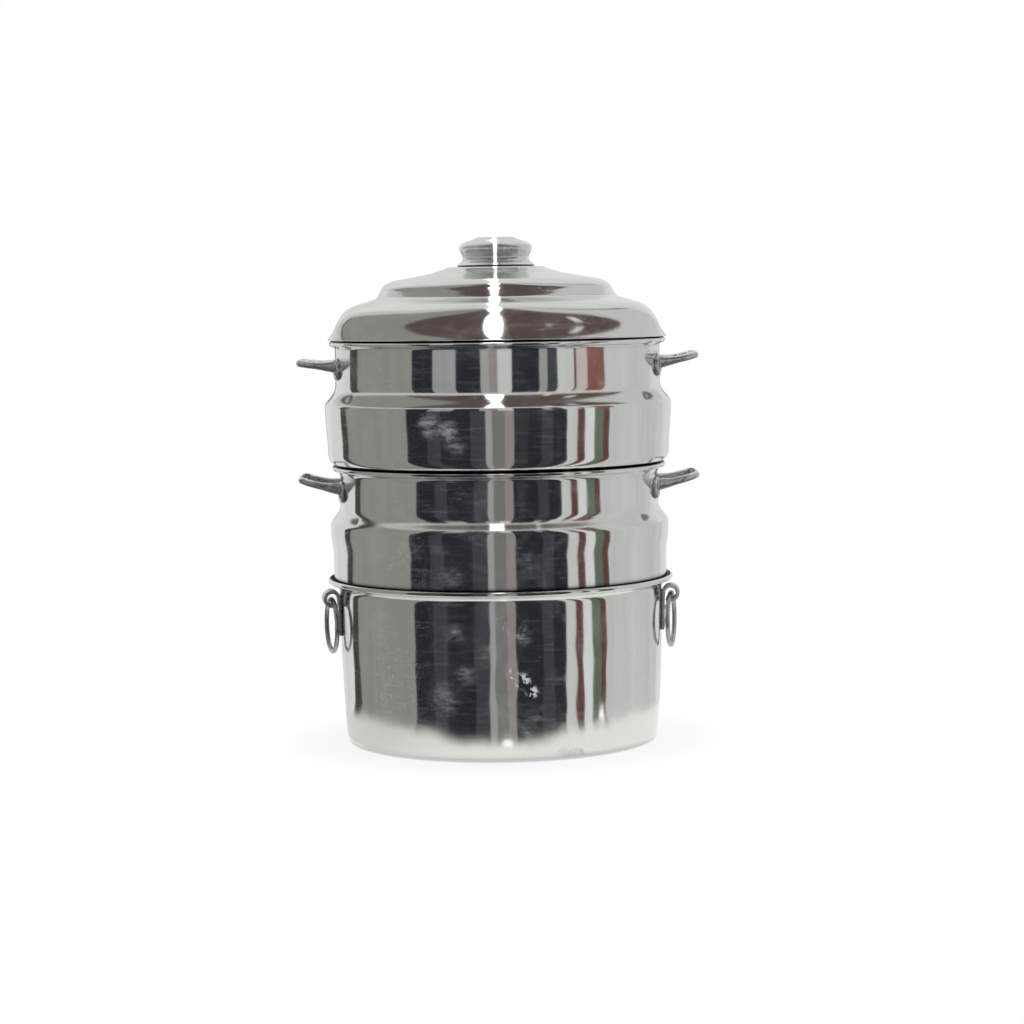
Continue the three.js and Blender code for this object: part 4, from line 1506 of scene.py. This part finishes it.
def screw_piece(tip, dish):
    """A slotted pan-head screw, threaded at its end."""
    sizes = settings().knob
    radius, head, pitch = sizes.screw_radius, sizes.screw_head_radius, sizes.thread_pitch
    start = tip + THREAD_CHAMFER
    line = [at(0, tip), at(radius * 0.7, tip), at(radius * 0.8, start)]
    for i in range(math.floor(THREAD_LENGTH / pitch)):
        for full, climb in THREAD_POINTS:
            line.append(at(radius * full, start + i * pitch + pitch * climb))
    top = dish + sizes.screw_head_height
    under = dish + BACK_GAP
    line += [at(radius, under), at(head * 0.97, under), at(head, under + HEAD_EDGE)]
    line += bend(at(head, top - HEAD_DOME), at(head * 0.93, top), at(head * 0.45, top), 8)
    screw = turned("screw", spaced(line + [at(0, top)]), 0.0, 64)
    long, wide = 2 * head, sizes.slot_width / 2
    plan = ((-long, -wide), (long, -wide), (long, wide), (-long, wide))
    slot = prism("slot", plan, top - sizes.slot_depth, top + head)
    slot.data.transform(spin(math.radians(SLOT_TURN)))
    return cut(screw, slot)


WASHER_EDGE = 0.25 * MM


def washer_outline(low, high):
    """A washer's outline, with the soft edges of a punched plate."""
    radius, bore = settings().knob.washer_radius, screw_bore()
    soft = WASHER_EDGE
    line = [at(bore, low), at(radius - soft, low), at(radius, low + soft), at(radius, high - soft)]
    return line + [at(radius - soft, high), at(bore + soft, high), at(bore, high - soft)]


def nut_piece(low, high):
    """A hexagonal nut with chamfered corners."""
    radius, bore = settings().knob.nut_radius, screw_bore()
    slope = radius * 0.13
    flat, wide = radius * 0.9, radius + slope
    line = [at(bore, low), at(flat, low), at(wide, low + slope * 2), at(wide, high - slope * 2)]
    body = turned("nut", line + [at(flat, high), at(bore, high)], 0.0, 96)
    plan = [(radius * math.cos(a), radius * math.sin(a)) for a in angles(6)]
    return cut(body, prism("hexagon", plan, low - slope, high + slope), "INTERSECT")


# Studio

# Colours of the cards that the polished metal reflects
PALE = (0.60, 0.605, 0.585)
BRIGHT = (0.74, 0.75, 0.74)
CREAM = (0.90, 0.91, 0.855)
OLIVE = (0.27, 0.28, 0.245)
NAVY = (0.017, 0.020, 0.027)
SLATE = (0.045, 0.050, 0.058)
STONE = (0.35, 0.35, 0.345)
ASH = (0.19, 0.185, 0.185)
TAUPE = (0.31, 0.265, 0.25)
MAROON = (0.11, 0.045, 0.04)
BRICK = (0.24, 0.085, 0.07)
BLUSH = (0.56, 0.49, 0.47)
RUST = (0.105, 0.07, 0.066)
GREEN = (0.12, 0.15, 0.11)
SMOKE = (0.15, 0.132, 0.13)
SHADE = (0.05, 0.05, 0.048)
CEILING = (0.76, 0.765, 0.75)
# Cards from the back round by the left to the right: where each starts, in degrees from the
# front, at the height of the walls, of the uppermost neck, of the knob and over it
BACK_CARDS = ((-180, NAVY), (-173, STONE), (-168, SLATE), (-152, TAUPE), (-147, BRIGHT))
SIDE_CARDS = ((118, BRIGHT), (150, SLATE), (161, PALE), (167, NAVY))
WALL_CARDS = (
    *BACK_CARDS, (-104.5, SHADE), (-96, OLIVE), (-46, NAVY), (-34, SLATE), (-27, NAVY),
    (-14, SLATE), (-6.4, STONE), (-3.2, ASH), (2, TAUPE), (6.7, NAVY), (19, SLATE), (24, NAVY),
    (31.2, PALE), (37.4, MAROON), (40.8, BRIGHT), (47.8, GREEN), (52.6, MAROON), (57, PALE),
    *SIDE_CARDS,
)
NECK_CARDS = (
    *BACK_CARDS, (-107, SHADE), (-97, OLIVE), (-46.6, NAVY), (-40.5, SLATE), (-39.5, NAVY),
    (-34, STONE), (-21.7, NAVY), (-9.7, STONE), (-4.7, TAUPE), (0, PALE), (6.2, NAVY),
    (20.6, STONE), (24.5, SLATE), (30, PALE), (39.4, MAROON), (41.5, BLUSH), (48, BRICK),
    (60.6, PALE), *SIDE_CARDS,
)
KNOB_CARDS = (
    (-180, PALE), (-162, SHADE), (-154, PALE), (-140, OLIVE), (-60, SMOKE), (-24, SHADE),
    (-8, SMOKE), (27.5, BRIGHT), (31, SMOKE), (70, STONE), (90, PALE), (150, SHADE), (158, PALE),
)
LID_CARDS = (
    (-180, PALE), (-132, SHADE), (-128, OLIVE), (-60, RUST), (86, PALE), (150, SHADE), (158, PALE),
)
# Bright spots low on the pot: the middle and the reach of each
GLINTS = (((0.007, -0.206, 0.0), 0.014), ((0.224, -0.15, 0.003), 0.015))


def build_camera():
    """The camera at the photograph's viewing angle."""
    studio = settings().studio
    data = bpy.data.cameras.new("camera")
    data.lens = studio.lens
    data.sensor_width = 36.0
    data.clip_start = 0.05
    data.clip_end = 50.0
    camera = linked("camera", data)
    place = Matrix.Translation((0, -studio.camera_distance, studio.camera_height))
    aim = spin(-studio.pan) @ Matrix.Rotation(math.pi / 2 - studio.pitch, 4, "X")
    camera.matrix_world = place @ aim @ spin(-studio.roll)
    bpy.context.scene.camera = camera


def build_world():
    """Soft light from all round, with a white backdrop behind everything."""
    world = bpy.data.worlds.new("studio")
    world.use_nodes = True
    bpy.context.scene.world = world
    sky = Nodes(world.node_tree)
    sky.tree.nodes.clear()
    rays = sky.make("ShaderNodeLightPath").socket.node.outputs
    kinds = ("Is Camera Ray", "Is Glossy Ray", "Is Transmission Ray")
    camera, glossy, through = (Value(sky, rays[kind]) for kind in kinds)
    seen = camera.most(glossy).most(through)
    colour = sky.blend(seen, (0.62, 0.63, 0.64), (1.0, 1.0, 1.0))
    sky.make("ShaderNodeOutputWorld", sky.make("ShaderNodeBackground", colour, 1.0))


def floor_finish(pale):
    """A pale floor that keeps its shadow near the stack and turns white further out."""
    grain = pale.noise(pale.place, 60.0, 3.0) * 0.02 + 0.98
    colour = pale.shade((0.93, 0.935, 0.92), grain)
    matte = pale.make("ShaderNodeBsdfPrincipled", Base_Color=colour, Roughness=0.7)
    white = pale.make("ShaderNodeEmission", (1, 1, 1), 1.0)
    far = pale.away(pale.place, (0.0, 0.0, 0.0)).step(0.162, 0.23) * 0.16 + 0.84
    return pale.shown(pale.make("ShaderNodeMixShader", far, matte, white))


def build_floor():
    """The floor, a wide disc."""
    rim = [at(radius, 0) for radius in (0, 0.3, 0.8, 3.0, 9.0)]
    floor = turned("floor", rim + [at(9.0, -0.02), at(0, -0.02)], 0.0, 96)
    floor.data.transform(Matrix.Translation((0, 0, -0.1 * MM)))
    floor.data.materials.append(material("studio_floor", floor_finish))


def card_ramp(tent, cards, portion):
    """A row of cards, looked up by how far round the tent a place is."""
    stops = [((start + 180) / 360, colour) for start, colour in cards]
    return tent.make("ShaderNodeValToRGB", portion, stops=stops)


def tent_finish(tent):
    """What the polished metal reflects: cards round the stack, a ceiling and a strip lamp."""
    place = tent.place
    x, y, z = tent.split(place)
    bearing = x.bearing(y * -1.0) * ((z - 0.12) * 0.25 + 1.0)
    portion = bearing / (2 * math.pi) + 0.5
    walls = card_ramp(tent, WALL_CARDS, portion)
    neck = card_ramp(tent, NECK_CARDS, portion)
    level = card_ramp(tent, KNOB_CARDS, portion)
    lean = (z - 0.5).most(0.0) * 1.5 + 1.0
    high = card_ramp(tent, LID_CARDS, bearing * lean / (2 * math.pi) + 0.5)
    streaks = tent.noise(tent.vector(bearing * 6.0, z * 1.3, 0.0), 1.0, 4.0, 0.65) * 0.5 + 0.75
    colour = tent.shade(tent.blend(z.step(0.328, 0.334), walls, neck), streaks)
    colour = tent.blend(z.step(0.39, 0.40), colour, PALE)
    colour = tent.blend(z.step(0.435, 0.445), colour, level)
    sinking = z + abs(bearing).step(0.6, 1.5) * 0.04
    colour = tent.blend(sinking.step(0.475, 0.49), colour, high)
    pane = abs(bearing - 0.93).step(0.06, 0.045) * abs(z - 0.535).step(0.04, 0.03)
    colour = tent.blend(pane, colour, BRIGHT)
    dust = tent.noise(tent.vector(bearing * 8.0, z * 5.0, 7.0), 1.0, 4.0, 0.6).step(0.5, 0.85)
    colour = tent.blend(1.0, colour, tent.grey(dust * 0.03), "ADD")
    back = y * 2.6 + z
    roof = tent.shade(CEILING, tent.noise(place, 7.0, 3.0) * 0.5 + 0.75)
    colour = tent.blend(back.step(0.98, 1.08) * z.step(0.41, 0.43), colour, roof)
    out = (x * x + y * y) ** 0.5
    turned_by = abs(bearing + 0.06)
    foot = turned_by.step(0.28, 0.62) * 0.032 + turned_by.step(0.6, 1.5) * 0.02
    foot = foot + tent.noise(place, 22.0, 6.0, 0.7) * 0.034 + 0.175
    cream = tent.shade(CREAM, bearing.step(-0.25, -1.1) * -0.2 + 1.0)
    colour = tent.blend((z * 1.5 + out - foot).step(0.042, -0.006), colour, cream)
    for middle, reach in GLINTS:
        glint = tent.away(place, middle).step(reach, reach * 0.3)
        colour = tent.blend(glint, colour, (1.6, 1.6, 1.55))
    half_width = back.step(0.3, 0.6) * 0.011 - back.step(0.85, 1.0) * 0.017
    half_width = half_width + z.step(0.75, 0.6) * 0.006 + 0.0155
    strip = (abs(x + 0.008) - half_width).step(0.002, -0.002) * z.step(0.43, 0.436)
    colour = tent.blend(strip, colour, (3.2, 3.2, 3.15))
    light = settings().studio.tent_light
    return tent.shown(tent.make("ShaderNodeEmission", colour, light))


def build_tent():
    """The tent round the stack, which only reflections see: nearer in front than behind."""
    studio = settings().studio
    radius, height = studio.tent_radius, studio.tent_height
    apron = at(radius * 0.53, 0.4 * MM)
    wall = [apron, at(radius, 0.4 * MM), at(radius, height * 0.8)]
    roof = bend(wall[-1], at(radius, height), at(0, height), 12)
    outside = refined(wall, 0.1) + roof[1:]
    skin = [at(point.x + 2 * MM, point.y + 2 * MM) for point in reversed(outside[1:-1])]
    outline = outside + [at(0, height + 2 * MM)] + skin + [at(apron.x, apron.y + 0.2 * MM)]

    def nearer(angle, point):
        way_out = (point.x - apron.x) / (radius - apron.x)
        return studio.tent_shift * math.sin(angle) * min(max(way_out, 0.0), 1.0), 0.0

    tent = turned("tent", outline[::-1], 0.0, 96, nearer)
    tent.data.materials.append(material("studio_tent", tent_finish))
    for rays in ("camera", "diffuse", "transmission", "volume_scatter", "shadow"):
        setattr(tent, f"visible_{rays}", False)


def build_lamps():
    """A broad soft lamp overhead and a weaker one from the front left."""
    power = settings().studio.lamp_power
    for name, place, size, energy in (
        ("overhead_lamp", (0.2, -0.5, 2.2), 2.4, power),
        ("front_lamp", (-1.6, -1.8, 1.6), 1.4, power * 0.4),
    ):
        data = bpy.data.lights.new(name, "AREA")
        data.shape = "SQUARE"
        data.size = size
        data.energy = energy
        lamp = linked(name, data)
        lamp.location = place
        aim = Vector((0, 0, 0.2)) - lamp.location
        lamp.rotation_euler = aim.to_track_quat("-Z", "Y").to_euler()
        lamp.visible_glossy = False
        lamp.visible_camera = False


# Operators

class Step:
    """What the steamer's operators share."""

    bl_options = {"REGISTER", "UNDO"}


class BuildStudio(Step, bpy.types.Operator):
    """Build the camera, the world, the lamps, the floor and the tent"""

    bl_idname = "steamer.build_studio"
    bl_label = "Studio"

    def execute(self, context):
        for build in (build_camera, build_world, build_floor, build_tent, build_lamps):
            build()
        return {"FINISHED"}


class BuildPot(Step, bpy.types.Operator):
    """Build the water pot"""

    bl_idname = "steamer.build_pot"
    bl_label = "Pot"

    def execute(self, context):
        build_pot()
        return {"FINISHED"}


class BuildRings(Step, bpy.types.Operator):
    """Build the pot's ring handles, their lugs and rivets"""

    bl_idname = "steamer.build_rings"
    bl_label = "Rings and lugs"

    def execute(self, context):
        build_lugs()
        build_rings()
        build_lug_rivets()
        return {"FINISHED"}


class BuildTiers(Step, bpy.types.Operator):
    """Build the two perforated tiers"""

    bl_idname = "steamer.build_tiers"
    bl_label = "Tiers"

    def execute(self, context):
        for seed, tier in enumerate(stack(), 5):
            build_tier(tier, seed)
        return {"FINISHED"}


class BuildHandles(Step, bpy.types.Operator):
    """Build the tiers' cast handles and their rivets"""

    bl_idname = "steamer.build_handles"
    bl_label = "Handles"

    def execute(self, context):
        for seed, tier in enumerate(stack(), 21):
            build_handles(tier)
            build_tier_rivets(tier, seed)
        return {"FINISHED"}


class BuildLid(Step, bpy.types.Operator):
    """Build the lid"""

    bl_idname = "steamer.build_lid"
    bl_label = "Lid"

    def execute(self, context):
        build_lid()
        return {"FINISHED"}


class BuildKnob(Step, bpy.types.Operator):
    """Build the knob with its screw, washer and nut"""

    bl_idname = "steamer.build_knob"
    bl_label = "Knob"

    def execute(self, context):
        build_knob()
        build_fasteners()
        return {"FINISHED"}


OPERATORS = (BuildStudio, BuildPot, BuildRings, BuildTiers, BuildHandles, BuildLid, BuildKnob)


class SteamerPanel(bpy.types.Panel):
    """The steamer's steps and settings"""

    bl_idname = "VIEW3D_PT_steamer"
    bl_label = "Food steamer"
    bl_space_type = "VIEW_3D"
    bl_region_type = "UI"
    bl_category = "Steamer"

    def draw(self, context):
        column = self.layout.column(align=True)
        for operator in OPERATORS:
            column.operator(operator.bl_idname)
        for name, group in GROUPS.items():
            box = self.layout.box()
            box.label(text=label(name))
            for field in group.__annotations__:
                box.prop(getattr(context.scene.steamer, name), field)


CLASSES = (*GROUPS.values(), SteamerSettings, *OPERATORS, SteamerPanel)


def register():
    """Adds the settings, operators and panel to Blender."""
    for each in CLASSES:
        bpy.utils.register_class(each)
    bpy.types.Scene.steamer = bpy.props.PointerProperty(type=SteamerSettings)


def unregister():
    """Takes them out again."""
    del bpy.types.Scene.steamer
    for each in reversed(CLASSES):
        bpy.utils.unregister_class(each)


def main():
    """Builds the steamer and its studio."""
    register()
    bpy.context.scene.view_settings.view_transform = "Standard"
    for operator in OPERATORS:
        family, name = operator.bl_idname.split(".")
        getattr(getattr(bpy.ops, family), name)()


if __name__ == "__main__":
    main()
